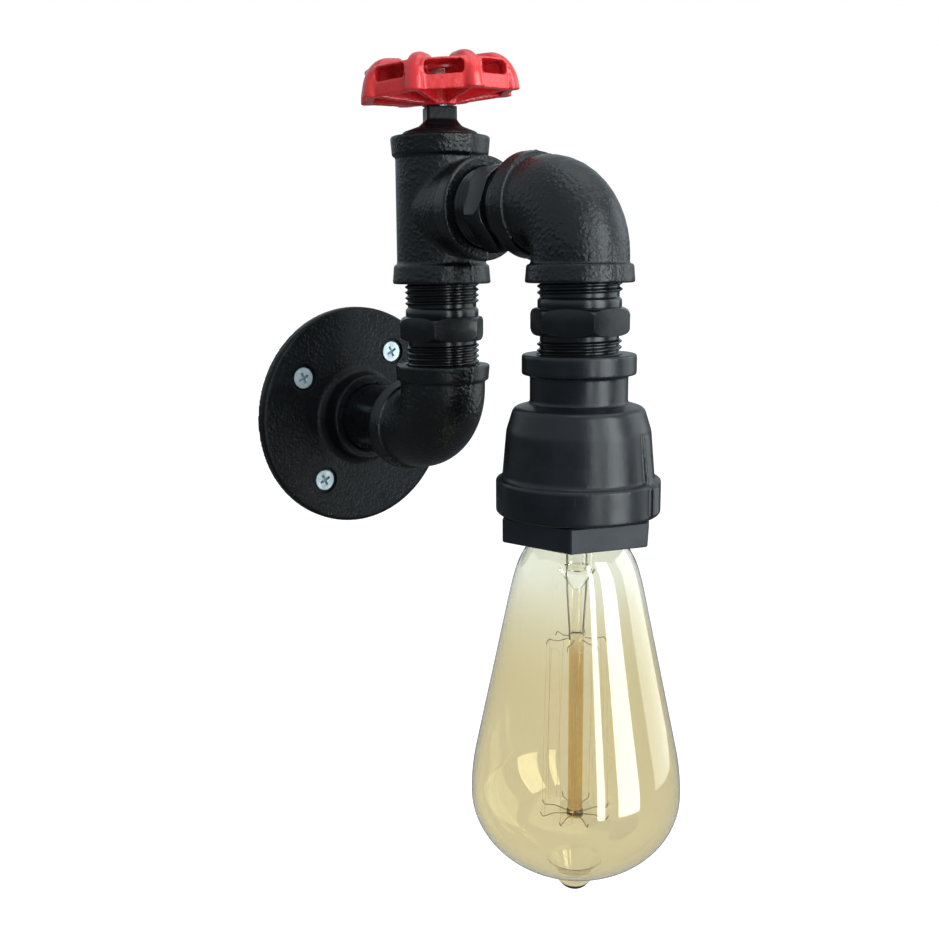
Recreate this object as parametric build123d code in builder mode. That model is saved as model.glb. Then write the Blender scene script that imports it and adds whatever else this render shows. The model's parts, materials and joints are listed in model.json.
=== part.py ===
from build123d import *
import math
import os

# Wall light made of 3/4 inch pipe fittings. Millimetres, +Z up. The origin is the centre of the
# wall flange's back face, the wall is the plane y = 0 and the light stands out of it towards -Y.

# ---- axes of the pipe run ----
riser_reach = 57.6            # wall to the axis of the riser
tee_half_run = 23.8           # tee centre to each of its three ends
elbow_leg = 22.9              # elbow corner to either end
riser_low_gap = 8.1           # thread left showing at each end of the three nipples
riser_top_gap = 7.8
branch_tee_gap = 6.0
branch_elbow_gap = 3.3
drop_top_gap = 4.0
drop_low_gap = 5.4

# ---- pipe thread and fit ----
thread_root_r = 11.6
thread_tooth_h = 0.85         # crest above root
thread_pitch = 1.814
thread_fit = 0.05             # radial play of a male thread in its fitting
pipe_bore_r = 9.6
cavity_r = 11.3               # inside of every fitting past its thread
thread_depth = 12.0           # length of each female thread
face_gap = 0.1                # play between faces that are screwed up to each other

# ---- cast fittings ----
elbow_r = 14.4
bend_r = 15.0                 # centre line of the elbow's bend
tee_run_r = 14.9
tee_branch_r = 14.5
elbow_bead_r = 16.05
elbow_bead_len = 5.4
tee_bead_r = 16.5
tee_bead_len = 6.3
bead_draft_deg = 5.0
bead_edge_r = 0.6
crotch_r = 2.0                # fillet where the branch leaves the run

# ---- wall flange and its screws ----
flange_r = 40.85
flange_t = 4.0
flange_edge_r = 1.3
boss_r = 16.0
boss_top = 12.7               # from the wall
boss_foot_r = 3.0
boss_edge_r = 0.8
flange_lip_t = 1.5            # lip left behind the threaded bore
screw_circle_r = 28.1
screw_count = 4
first_screw_deg = 56.2
screw_head_r = 3.9
screw_shank_r = 2.0
screw_hole_play = 0.3
sink_play = 0.2               # radial play round the screw head
sink_depth_under_face = 0.5   # head below the flange's face
screw_plain_out = 6.0         # plain shank that stands out behind the flange
screw_thread_len = 9.0
screw_tip_len = 3.2
screw_core_r = 1.4
screw_pitch = 1.8
recess_w = 1.0
recess_len = 4.2
recess_depth = 1.5

# ---- nipples ----
hex_r = 15.0                  # across corners / 2
hex_len = 8.0
hex_face_r = 12.9             # circle left on each face where the corners are turned off
hex_corner_h = 1.9
collar_r = 12.3
collar_len = 3.1
undercut_len = 1.2
nipple_long_end = 17.0        # hexagon to the end without the collar
nipple_short_end = 15.0       # collar to the other end
riser_hex_deg = 43.5
drop_hex_deg = 2.5
branch_hex_deg = 10.0
flange_nipple_grip = 11.0     # length screwed into the elbow

# ---- square-headed plug ----
plug_grip = 11.0
plug_collar_r = 12.8
plug_collar_top_r = 12.2
plug_collar_h = 1.3
plug_flare_h = 3.7
plug_square = 10.0
plug_square_deg = 63.0
plug_head_top = 107.4         # height of the face that the handwheel turns on

# ---- handwheel ----
wheel_lobes = 8
wheel_corner_round = 1.0
wheel_height = 12.1
hump_outer_r = 27.0           # foot of each hump, outside the rim's corner
hump_stand = 1.4              # foot of a hump beyond the corner of the rim
hump_crest_back = 9.0         # from the foot in to where a hump reaches its top
hump_inner_r = 13.2
hump_w = 6.2
hump_proud = 0.3              # of the dome that rounds the rim's top
hump_round = 2.6
wheel_wall = 2.4
wheel_eye_r = 6.5             # opening in the middle of the top, over the screw
wheel_plate_r = 15.0          # thick part of the top round the opening
wheel_plate_low = 7.2
wheel_phase_deg = 35.8
valley_top = 9.5              # top of the rim between two humps
window_w = 12.4
window_low = 4.5
window_high = 8.7
window_round = 1.2
hub_r = 5.8
hub_drop = 2.6                # hub below the rim's lower edge
hub_top = 5.2
web_t = 1.8
wheel_lean_deg = 3.9          # the wheel sits a little crooked on its plug
wheel_lean_towards_deg = 168.0
pivot_r = 2.5
pivot_play = 0.08
washer_r = 5.6
washer_t = 1.0
pivot_head_r = 4.4
pivot_head_h = 2.2
pivot_grip = 11.0

# ---- reducing socket; its heights and the lampholder's and lamp's count from lamp_z ----
socket_top = 30.3
socket_collar_r = 16.9
socket_collar_low = 24.2
socket_neck_r = 14.5
socket_neck_low = 15.9
shoulder_top_r = 19.4
shoulder_low_z = 7.7
shoulder_low_r = 21.5
skirt_low_r = 22.7
band_r = 24.6
band_top = -7.0
band_low = -17.1
band_chamfer = 0.7
rib_w = 4.0
rib_proud = 1.1
rib_deg = -71.5
rib_top = 9.0
bushing_thread_r = 19.9
holder_roof_z = 6.5           # where the cavity starts to close in
cavity_neck_z = 13.0

# ---- hexagon bushing ----
bushing_hex_r = 24.45
bushing_hex_len = 7.35
bushing_hex_deg = 42.1
bushing_edge = 0.35
bushing_boss_len = 12.2
bushing_bore_r = 16.8

# ---- lampholder ----
holder_r = 19.3
holder_skirt_r = 16.2
holder_skirt_low = -19.5
holder_socket_r = 14.35
holder_socket_roof = 3.4
holder_seat_gap = 0.2
shell_t = 0.5
shell_play = 0.1
shell_low = -18.5
shell_roof = 2.0
shell_roof_hole_r = 10.6
strip_t = 0.4
strip_w = 5.0
contact_gap = 0.2
terminal_circle_r = 8.0
terminal_w = 5.0
terminal_len = 6.0
terminal_h = 4.5
terminal_rivet_r = 1.2
terminal_screw_r = 1.2
terminal_head_r = 1.9
terminal_head_h = 1.4
terminal_degs = (210.0, 330.0, 90.0)   # live, neutral, earth round the drop's axis

# ---- leads ----
lead_r = 1.05
lead_bend_r = 16.0
lead_kink_r = 4.0
lead_pitch = 3.0              # side by side in the pipe
lead_hole_play = 0.1
lead_start = 2.0              # from the wall plane, inside the flange
lead_spread_z = 23.0
lead_line_up_z = 15.0
ferrule_len = 8.0
ferrule_t = 0.45

# ---- screw-base lamp ----
lamp_thread_r = 13.1
lamp_root_r = 12.35
lamp_thread_pitch = 3.629
lamp_thread_turns = 4
lamp_thread_low = -19.5
cap_t = 0.4
cap_rim_r = 13.3
cap_rim_low = -23.5
cap_top = -4.0
cap_top_r = 11.4
contact_tip = 1.0             # height of the lamp's centre contact
contact_r = 4.8
contact_h = 1.5
turning_play = 0.08           # between the insulator and the shell that turns round it
glass_t = 0.8
neck_r = 11.4
neck_top = -11.0
widest_r = 32.6
widest_z = -106.4
dome_h = 25.9
tip_h = 7.8                   # sealed tip, below the dome
tip_r = 9.0                   # where the tip leaves the dome
tip_root = 1.04               # height of that place above the dome's bottom
stem_r = 5.0
stem_t = 0.6
stem_low = -35.5
flare_lip = 0.6               # plain lip of the flare, below the neck's top
flare_h = 5.4                 # lip to the flare's narrow part
flare_swell = 1.2             # beyond the stem where the flare narrows
flare_h_low = 4.0             # narrow part to the plain stem
press_len = 5.5
upper_rod_r = 1.5
button_z = -57.0
button_r = 2.5
rod_r = 2.3
rod_low = -114.5
wire_r = 0.3
wire_top_r = 4.0               # where each wire runs inside the stem
wire_fit = 0.04
support_r = 0.2
upper_support_reach = 9.5
upper_support_count = 6
lower_support_reach = 11.5
lower_support_count = 8
hook_h = 2.6
filament_r = 0.14
filament_circle_r = 9.2
filament_strands = 12

# ---- derived places ----
riser_hex_z = elbow_leg + riser_low_gap
tee_foot = riser_hex_z + hex_len + collar_len + riser_top_gap
tee_centre_z = tee_foot + tee_half_run
tee_top = tee_centre_z + tee_half_run
riser_y = -riser_reach
branch_hex_y = riser_y - tee_half_run - branch_tee_gap
drop_y = branch_hex_y - hex_len - collar_len - branch_elbow_gap - elbow_leg
drop_hex_z = tee_centre_z - elbow_leg - drop_top_gap - collar_len - hex_len
lamp_z = drop_hex_z - drop_low_gap - socket_top
thread_crest_r = thread_root_r + thread_tooth_h
female_r = thread_crest_r + thread_fit
bead_slope = math.tan(math.radians(bead_draft_deg))
riser_axis = Axis((0, riser_y, 0), (0, 0, 1))
drop_axis = Axis((0, drop_y, 0), (0, 0, 1))
wall_axis = Axis((0, 0, 0), (0, -1, 0))


def turning_plane(origin, direction):
    """Plane through an axis: local x is the radius along +X, local y runs along the axis."""
    return Plane(origin=origin, x_dir=(1, 0, 0), z_dir=Vector(1, 0, 0).cross(Vector(*direction)))


def thread_points(crest_r, root_r, start, count, pitch):
    """Points of a turned thread profile, from start, count teeth long."""
    points = []
    for tooth in range(count):
        foot = start + tooth * pitch
        points += [(root_r, foot + 0.05 * pitch), (crest_r, foot + 0.4 * pitch)]
        points += [(crest_r, foot + 0.6 * pitch), (root_r, foot + 0.95 * pitch)]
    return points


def circles_of(builder, radius):
    """Circular edges of one radius."""
    return [e for e in builder.edges().filter_by(GeomType.CIRCLE) if abs(e.radius - radius) < 1e-4]


os.makedirs("parts", exist_ok=True)

riser_plane = turning_plane((0, riser_y, 0), (0, 0, 1))
drop_plane = turning_plane((0, drop_y, lamp_z), (0, 0, 1))
wall_plane = turning_plane((0, 0, 0), (0, -1, 0))

# ======== wall flange ========
screw_angles = [first_screw_deg + i * 360 / screw_count for i in range(screw_count)]
screw_spots = [
    (screw_circle_r * math.cos(math.radians(a)), screw_circle_r * math.sin(math.radians(a)))
    for a in screw_angles
]
screw_hole_r = screw_shank_r + screw_hole_play
sink_r = screw_head_r + sink_play + sink_depth_under_face

with BuildPart() as wall_flange:
    with BuildSketch(wall_plane):
        with BuildLine():
            Polyline(
                (cavity_r, 0), (flange_r, 0), (flange_r, flange_t), (boss_r, flange_t),
                (boss_r, boss_top), (female_r, boss_top), (female_r, flange_lip_t),
                (cavity_r, flange_lip_t), close=True,
            )
        make_face()
    revolve(axis=wall_axis)
    rim_edges = [e for e in circles_of(wall_flange, flange_r) if e.center().Y < -flange_t / 2]
    fillet(rim_edges, flange_edge_r)
    boss_edges = circles_of(wall_flange, boss_r)
    fillet([e for e in boss_edges if e.center().Y < -flange_t - 1], boss_edge_r)
    fillet([e for e in circles_of(wall_flange, boss_r) if e.center().Y > -flange_t - 1e-3], boss_foot_r)
    for x, z in screw_spots:
        spot_plane = turning_plane((x, 0, z), (0, -1, 0))
        with BuildSketch(spot_plane):
            with BuildLine():
                Polyline(
                    (0, -1), (screw_hole_r, -1), (screw_hole_r, flange_t - sink_r + screw_hole_r),
                    (sink_r, flange_t), (sink_r, flange_t + 1), (0, flange_t + 1), close=True,
                )
            make_face()
        revolve(axis=Axis((x, 0, z), (0, -1, 0)), mode=Mode.SUBTRACT)
wall_flange.part.label = "wall_flange"
export_step(wall_flange.part, "parts/wall_flange.step")

# ======== wall screws ========
head_face = flange_t - sink_depth_under_face
head_cone = screw_head_r - screw_shank_r
thread_start = -screw_plain_out - screw_thread_len
screw_teeth = int(screw_thread_len / screw_pitch)

with BuildPart() as wall_screws:
    for x, z in screw_spots:
        spot_plane = turning_plane((x, 0, z), (0, -1, 0))
        with BuildSketch(spot_plane):
            with BuildLine():
                Polyline(
                    (0, thread_start - screw_tip_len), (screw_core_r, thread_start),
                    *thread_points(screw_shank_r, screw_core_r, thread_start, screw_teeth, screw_pitch),
                    (screw_shank_r, -screw_plain_out), (screw_shank_r, head_face - head_cone),
                    (screw_head_r, head_face - 0.2), (screw_head_r - 0.2, head_face), (0, head_face),
                    close=True,
                )
            make_face()
        revolve(axis=Axis((x, 0, z), (0, -1, 0)))
        with BuildSketch(Plane(origin=(x, -head_face, z), x_dir=(1, 0, 0), z_dir=(0, -1, 0))):
            Rectangle(recess_len, recess_w, rotation=25)
            Rectangle(recess_w, recess_len, rotation=25)
        extrude(amount=-recess_depth, taper=12, mode=Mode.SUBTRACT)
wall_screws.part.label = "wall_screws"
export_step(wall_screws.part, "parts/wall_screws.step")

# ======== flange nipple, a short barrel screwed into flange and lower elbow ========
barrel_start = flange_lip_t + face_gap
elbow_face = riser_reach - elbow_leg
barrel_end = elbow_face + flange_nipple_grip
barrel_teeth = int((boss_top - barrel_start) / thread_pitch)
barrel_grip = barrel_teeth * thread_pitch

with BuildPart() as flange_nipple:
    with BuildSketch(wall_plane):
        with BuildLine():
            Polyline(
                (pipe_bore_r, barrel_start), (thread_root_r, barrel_start),
                *thread_points(thread_crest_r, thread_root_r, barrel_start, barrel_teeth, thread_pitch),
                (thread_crest_r, barrel_start + barrel_grip), (thread_crest_r, barrel_end - barrel_grip),
                *thread_points(
                    thread_crest_r, thread_root_r, barrel_end - barrel_grip, barrel_teeth, thread_pitch
                ),
                (thread_root_r, barrel_end), (pipe_bore_r, barrel_end), close=True,
            )
        make_face()
    revolve(axis=wall_axis)
flange_nipple.part.label = "flange_nipple"
export_step(flange_nipple.part, "parts/flange_nipple.step")

# ======== elbows ========
# Each elbow lies in the plane x = 0, with one leg back towards the wall and one leg up or down.
elbows = {
    "lower_elbow": ((0, riser_y, 0), (0, 0, 1)),
    "upper_elbow": ((0, drop_y, tee_centre_z), (0, 0, -1)),
}
for node, (corner, upright) in elbows.items():
    elbow_plane = Plane(origin=corner, x_dir=(0, 1, 0), z_dir=Vector(0, 1, 0).cross(Vector(*upright)))
    with BuildPart() as elbow:
        with BuildLine(elbow_plane) as bend:
            FilletPolyline((elbow_leg, 0), (0, 0), (0, elbow_leg), radius=bend_r)
        ends = [Plane(origin=bend.line @ 0, z_dir=bend.line % 0)]
        ends.append(Plane(origin=bend.line @ 1, z_dir=(bend.line % 1) * -1))
        with BuildSketch(ends[0]):
            Circle(elbow_r)
        sweep(path=bend.line)
        for end in ends:
            with BuildSketch(end):
                Circle(elbow_bead_r)
            extrude(amount=elbow_bead_len, taper=bead_draft_deg)
        fillet(circles_of(elbow, elbow_bead_r), bead_edge_r)
        fillet(circles_of(elbow, elbow_bead_r - elbow_bead_len * bead_slope), bead_edge_r)
        with BuildSketch(ends[0]):
            Circle(cavity_r)
        sweep(path=bend.line, mode=Mode.SUBTRACT)
        for end in ends:
            with BuildSketch(end):
                Circle(female_r)
            extrude(amount=thread_depth, mode=Mode.SUBTRACT)
    elbow.part.label = node
    export_step(elbow.part, f"parts/{node}.step")

# ======== tee ========
tee_centre = (0, riser_y, tee_centre_z)
tee_ends = [
    Plane(origin=(0, riser_y, tee_foot), z_dir=(0, 0, 1)),
    Plane(origin=(0, riser_y, tee_top), z_dir=(0, 0, -1)),
    Plane(origin=(0, riser_y - tee_half_run, tee_centre_z), z_dir=(0, 1, 0)),
]
with BuildPart() as tee:
    with BuildSketch(tee_ends[0]):
        Circle(tee_run_r)
    extrude(amount=2 * tee_half_run)
    with BuildSketch(tee_ends[2]):
        Circle(tee_branch_r)
    extrude(amount=tee_half_run)
    crotch = [e for e in tee.edges() if e.geom_type not in (GeomType.CIRCLE, GeomType.LINE)]
    fillet(crotch, crotch_r)
    for end in tee_ends:
        with BuildSketch(end):
            Circle(tee_bead_r)
        extrude(amount=tee_bead_len, taper=bead_draft_deg)
    fillet(circles_of(tee, tee_bead_r), bead_edge_r)
    fillet(circles_of(tee, tee_bead_r - tee_bead_len * bead_slope), bead_edge_r)
    for end in tee_ends:
        with BuildSketch(end):
            Circle(cavity_r)
        extrude(amount=tee_half_run, mode=Mode.SUBTRACT)
        with BuildSketch(end):
            Circle(female_r)
        extrude(amount=thread_depth, mode=Mode.SUBTRACT)
tee.part.label = "tee"
export_step(tee.part, "parts/tee.step")

# ======== hexagon nipples ========
# Seat: where the hexagon starts. Direction: towards the collar.
hex_nipples = {
    "riser_nipple": ((0, riser_y, riser_hex_z), (0, 0, 1), riser_hex_deg),
    "branch_nipple": ((0, branch_hex_y, tee_centre_z), (0, -1, 0), branch_hex_deg),
    "drop_nipple": ((0, drop_y, drop_hex_z), (0, 0, 1), drop_hex_deg),
}
nipple_end = hex_len + collar_len + nipple_short_end
long_teeth = int((nipple_long_end - undercut_len) / thread_pitch)
short_teeth = int(nipple_short_end / thread_pitch)
long_start = -undercut_len - long_teeth * thread_pitch
short_start = hex_len + collar_len
for node, (seat, direction, turn_deg) in hex_nipples.items():
    seat_plane = Plane(origin=seat, x_dir=(1, 0, 0), z_dir=direction)
    with BuildPart() as nipple:
        with BuildSketch(seat_plane):
            RegularPolygon(hex_r, 6, rotation=turn_deg)
        extrude(amount=hex_len)
        with BuildSketch(turning_plane(seat, direction)):
            with BuildLine():
                Polyline(
                    (0, 0), (hex_face_r, 0), (hex_r, hex_corner_h), (hex_r, hex_len - hex_corner_h),
                    (hex_face_r, hex_len), (0, hex_len), close=True,
                )
            make_face()
        revolve(axis=Axis(seat, direction), mode=Mode.INTERSECT)
        with BuildSketch(turning_plane(seat, direction)):
            with BuildLine():
                Polyline(
                    (0, -nipple_long_end), (thread_root_r, -nipple_long_end),
                    *thread_points(thread_crest_r, thread_root_r, long_start, long_teeth, thread_pitch),
                    (thread_root_r, -undercut_len), (thread_root_r, 0.5), (collar_r, 0.5),
                    (collar_r, short_start - 0.4), (thread_root_r, short_start),
                    *thread_points(thread_crest_r, thread_root_r, short_start, short_teeth, thread_pitch),
                    (thread_root_r, nipple_end), (0, nipple_end), close=True,
                )
            make_face()
        revolve(axis=Axis(seat, direction))
        with BuildSketch(seat_plane.offset(-nipple_long_end)):
            Circle(pipe_bore_r)
        extrude(amount=nipple_long_end + nipple_end, mode=Mode.SUBTRACT)
    nipple.part.label = node
    export_step(nipple.part, f"parts/{node}.step")

# ======== plug with a square head ========
wheel_lean = math.radians(wheel_lean_deg)
lean_to = math.radians(wheel_lean_towards_deg)
wheel_up = Vector(
    math.sin(wheel_lean) * math.cos(lean_to), math.sin(wheel_lean) * math.sin(lean_to), math.cos(wheel_lean)
)
pivot_foot = Vector(0, riser_y, plug_head_top)
wheel_x = Vector(0, 1, 0).cross(wheel_up).normalized()
pivot_plane = Plane(origin=pivot_foot, x_dir=wheel_x, z_dir=wheel_up)
pivot_axis = Axis(pivot_foot, wheel_up)
pivot_hole_r = pivot_r + pivot_play
collar_top_z = tee_top + face_gap + plug_collar_h
head_low_z = collar_top_z + plug_flare_h
lean_rise = hub_r * math.tan(wheel_lean)

with BuildPart() as square_head_plug:
    with BuildSketch(riser_plane):
        with BuildLine():
            Polyline(
                (0, tee_top - plug_grip), (thread_crest_r, tee_top - plug_grip),
                (thread_crest_r, tee_top + face_gap), (plug_collar_r, tee_top + face_gap),
                (plug_collar_top_r, collar_top_z), (0, collar_top_z), close=True,
            )
        make_face()
    revolve(axis=riser_axis)
    with BuildSketch(Plane(origin=(0, riser_y, collar_top_z), z_dir=(0, 0, 1))):
        Circle(plug_collar_top_r)
    with BuildSketch(Plane(origin=(0, riser_y, collar_top_z + 0.45 * plug_flare_h), z_dir=(0, 0, 1))):
        Rectangle(1.45 * plug_square, 1.45 * plug_square, rotation=plug_square_deg)
        fillet(vertices(), 0.52 * plug_square)
    with BuildSketch(Plane(origin=(0, riser_y, head_low_z), z_dir=(0, 0, 1))):
        Rectangle(plug_square, plug_square, rotation=plug_square_deg)
        fillet(vertices(), 0.08 * plug_square)
    loft(ruled=True)
    with BuildSketch(Plane(origin=(0, riser_y, head_low_z), z_dir=(0, 0, 1))):
        Rectangle(plug_square, plug_square, rotation=plug_square_deg)
        fillet(vertices(), 0.08 * plug_square)
    extrude(amount=plug_head_top - lean_rise - face_gap - head_low_z)
    with BuildSketch(pivot_plane):
        Circle(pivot_hole_r)
    extrude(amount=-pivot_grip - 1, mode=Mode.SUBTRACT)
square_head_plug.part.label = "square_head_plug"
export_step(square_head_plug.part, "parts/square_head_plug.step")

# ======== handwheel ========
# Local z runs up the pivot and is 0 at the rim's lower edge, hub_drop above the hub's lower face.
rim_plane = pivot_plane.offset(hub_drop)
lobe_step = 360 / wheel_lobes
wheel_corner_r = hump_outer_r - hump_stand
hump_crest_r = hump_outer_r - hump_crest_back
inner_corner_r = wheel_corner_r - wheel_wall / math.cos(math.radians(lobe_step / 2))
web_eye_r = wheel_eye_r + 0.5


def wheel_plane(deg):
    """Upright plane through the pivot: local x is the radius, local y runs up the pivot."""
    radius_dir = rim_plane.x_dir.rotate(Axis((0, 0, 0), wheel_up), deg)
    return Plane(origin=rim_plane.origin, x_dir=radius_dir, z_dir=radius_dir.cross(wheel_up))


corner_planes = [wheel_plane(wheel_phase_deg + lobe_step * i) for i in range(wheel_lobes)]
side_planes = [wheel_plane(wheel_phase_deg + lobe_step * (i + 0.5)) for i in range(wheel_lobes)]

# One hump, then its turned copies.
with BuildPart() as hump:
    with BuildSketch(corner_planes[0]):
        with BuildLine():
            Line((hump_inner_r, 0), (hump_outer_r, 0))
            EllipticalCenterArc(
                (hump_crest_r, 0), hump_outer_r - hump_crest_r, wheel_height, start_angle=0, arc_size=90
            )
            Line((hump_crest_r, wheel_height), (hump_inner_r, wheel_height))
            Line((hump_inner_r, wheel_height), (hump_inner_r, 0))
        make_face()
    extrude(amount=hump_w / 2, both=True)
    soft_edges = []
    for edge in hump.edges():
        spot = corner_planes[0].to_local_coords(edge.center())
        if abs(spot.Z) > 0.45 * hump_w and spot.Y > 0.5 and spot.X > hump_inner_r + 0.5:
            soft_edges.append(edge)
    fillet(soft_edges, hump_round)
    inner_end = hump.faces().sort_by_distance(corner_planes[0].from_local_coords((0, wheel_height / 2)))[0]
    fillet([e for e in inner_end.edges() if corner_planes[0].to_local_coords(e.center()).Y > 0.5], 0.8)
humps = [hump.part.rotate(pivot_axis, lobe_step * i) for i in range(wheel_lobes)]


def dome_section(inset):
    """Half section of the wheel's rounded outside, drawn inset inside it."""
    foot = hump_outer_r - inset
    top = wheel_height - inset
    with BuildSketch(corner_planes[0]) as section:
        with BuildLine():
            Line((0, -1), (foot, -1))
            Line((foot, -1), (foot, 0))
            EllipticalCenterArc((hump_crest_r, 0), foot - hump_crest_r, top, start_angle=0, arc_size=90)
            Line((hump_crest_r, top), (0, top))
            Line((0, top), (0, -1))
        make_face()
    return section.sketch


outer_dome = dome_section(hump_proud)
inner_dome = dome_section(wheel_wall)

with BuildPart() as wheel_hollow:
    with BuildSketch(rim_plane.offset(-1)):
        RegularPolygon(inner_corner_r, wheel_lobes, rotation=wheel_phase_deg)
    extrude(amount=window_high + 1)
    revolve(inner_dome, axis=pivot_axis, mode=Mode.INTERSECT)

with BuildPart() as handwheel:
    with BuildSketch(rim_plane):
        RegularPolygon(wheel_corner_r, wheel_lobes, rotation=wheel_phase_deg)
        fillet(vertices(), wheel_corner_round)
    extrude(amount=valley_top)
    revolve(outer_dome, axis=pivot_axis, mode=Mode.INTERSECT)
    add(humps)
    add(wheel_hollow.part, mode=Mode.SUBTRACT)
    with BuildSketch(rim_plane.offset(-1)):
        Circle(wheel_eye_r)
    extrude(amount=wheel_height + 2, mode=Mode.SUBTRACT)
    for side in side_planes:
        window_plane = Plane(
            origin=side.origin + side.x_dir * wheel_plate_r, x_dir=wheel_up.cross(side.x_dir), z_dir=side.x_dir
        )
        with BuildSketch(window_plane):
            with Locations((0, (window_low + window_high) / 2)):
                RectangleRounded(window_w, window_high - window_low, window_round)
        extrude(amount=wheel_corner_r, mode=Mode.SUBTRACT)
    with BuildSketch(rim_plane.offset(wheel_plate_low)):
        Circle(wheel_plate_r)
        Circle(wheel_eye_r, mode=Mode.SUBTRACT)
    extrude(amount=valley_top - wheel_plate_low)
    with BuildSketch(pivot_plane):
        Circle(hub_r)
    extrude(amount=hub_drop + hub_top)
    for web in corner_planes:
        with BuildSketch(web):
            with BuildLine():
                Polyline(
                    (hub_r - 1, 0.5 - hub_drop), (hump_outer_r - 1, 0.6), (hump_outer_r - 1.5, 5),
                    (hump_crest_r + 2, window_high + 0.4), (web_eye_r, window_high + 0.4),
                    (web_eye_r, hub_top - 1), (hub_r - 1, hub_top - 1), close=True,
                )
            make_face()
        extrude(amount=web_t / 2, both=True)
    with BuildSketch(pivot_plane):
        Circle(pivot_hole_r)
    extrude(amount=hub_drop + hub_top, mode=Mode.SUBTRACT)
handwheel.part.label = "handwheel"
export_step(handwheel.part, "parts/handwheel.step")

# ======== washer and pivot screw of the wheel ========
washer_plane = pivot_plane.offset(hub_drop + hub_top + face_gap)
with BuildPart() as wheel_washer:
    with BuildSketch(washer_plane):
        Circle(washer_r)
        Circle(pivot_hole_r, mode=Mode.SUBTRACT)
    extrude(amount=washer_t)
wheel_washer.part.label = "wheel_washer"
export_step(wheel_washer.part, "parts/wheel_washer.step")

head_plane = washer_plane.offset(washer_t + face_gap)
with BuildPart() as wheel_screw:
    with BuildSketch(pivot_plane.offset(-pivot_grip)):
        Circle(pivot_r)
    extrude(amount=pivot_grip + hub_drop + hub_top + washer_t + 2 * face_gap)
    with BuildSketch(head_plane):
        Circle(pivot_head_r)
    extrude(amount=pivot_head_h)
    head_rim = [e for e in circles_of(wheel_screw, pivot_head_r)]
    fillet(head_rim[-1:] if head_rim[-1].center().Z > head_rim[0].center().Z else head_rim[:1], 1.2)
    with BuildSketch(head_plane.offset(pivot_head_h)):
        Rectangle(recess_len, recess_w)
        Rectangle(recess_w, recess_len)
    extrude(amount=-recess_depth, taper=12, mode=Mode.SUBTRACT)
wheel_screw.part.label = "wheel_screw"
export_step(wheel_screw.part, "parts/wheel_screw.step")

# ======== reducing socket ========
cavity_low_r = bushing_thread_r + thread_fit
with BuildPart() as reducing_socket:
    with BuildSketch(drop_plane):
        with BuildLine():
            Polyline(
                (female_r, socket_top), (socket_collar_r, socket_top),
                (socket_collar_r, socket_collar_low), (socket_neck_r, socket_collar_low),
                (socket_neck_r, socket_neck_low), (shoulder_top_r, socket_neck_low - 1.4),
                (shoulder_low_r, shoulder_low_z), (skirt_low_r, band_top + 1), (band_r, band_top),
                (band_r, band_low + band_chamfer), (band_r - band_chamfer, band_low),
                (cavity_low_r, band_low), (cavity_low_r, holder_roof_z), (cavity_r, cavity_neck_z),
                (cavity_r, socket_top - thread_depth), (female_r, socket_top - thread_depth),
                close=True,
            )
        make_face()
    revolve(axis=drop_axis)
    fillet(circles_of(reducing_socket, socket_collar_r), bead_edge_r)
    fillet(circles_of(reducing_socket, shoulder_top_r), 2.6)
    fillet(circles_of(reducing_socket, shoulder_low_r), 6.0)
    for side in (0, 180):
        rib_dir = Vector(1, 0, 0).rotate(Axis.Z, rib_deg + side)
        rib_plane = Plane(origin=(0, drop_y, lamp_z), x_dir=rib_dir, z_dir=rib_dir.cross(Vector(0, 0, 1)))
        with BuildSketch(rib_plane):
            with BuildLine():
                Polyline(
                    (shoulder_low_r - 1, rib_top), (shoulder_low_r + rib_proud - 0.4, rib_top - 1.5),
                    (skirt_low_r + rib_proud, band_top + 0.5), (band_r + rib_proud, band_top - 0.5),
                    (band_r + rib_proud, band_low + 1.5), (band_r - 1, band_low + 1), close=True,
                )
            make_face()
        extrude(amount=rib_w / 2, both=True)
reducing_socket.part.label = "reducing_socket"
export_step(reducing_socket.part, "parts/reducing_socket.step")

# ======== hexagon bushing that closes the socket and carries the lampholder ========
bushing_top = band_low - face_gap
with BuildPart() as hex_bushing:
    with BuildSketch(Plane(origin=(0, drop_y, lamp_z + bushing_top - bushing_hex_len), z_dir=(0, 0, 1))):
        RegularPolygon(bushing_hex_r, 6, rotation=bushing_hex_deg)
    extrude(amount=bushing_hex_len)
    chamfer(hex_bushing.edges(), bushing_edge)
    with BuildSketch(Plane(origin=(0, drop_y, lamp_z + bushing_top), z_dir=(0, 0, 1))):
        Circle(bushing_thread_r)
    extrude(amount=bushing_boss_len)
    with BuildSketch(Plane(origin=(0, drop_y, lamp_z + bushing_top - bushing_hex_len), z_dir=(0, 0, 1))):
        Circle(bushing_bore_r)
    extrude(amount=bushing_hex_len + bushing_boss_len, mode=Mode.SUBTRACT)
hex_bushing.part.label = "hex_bushing"
export_step(hex_bushing.part, "parts/hex_bushing.step")

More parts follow.
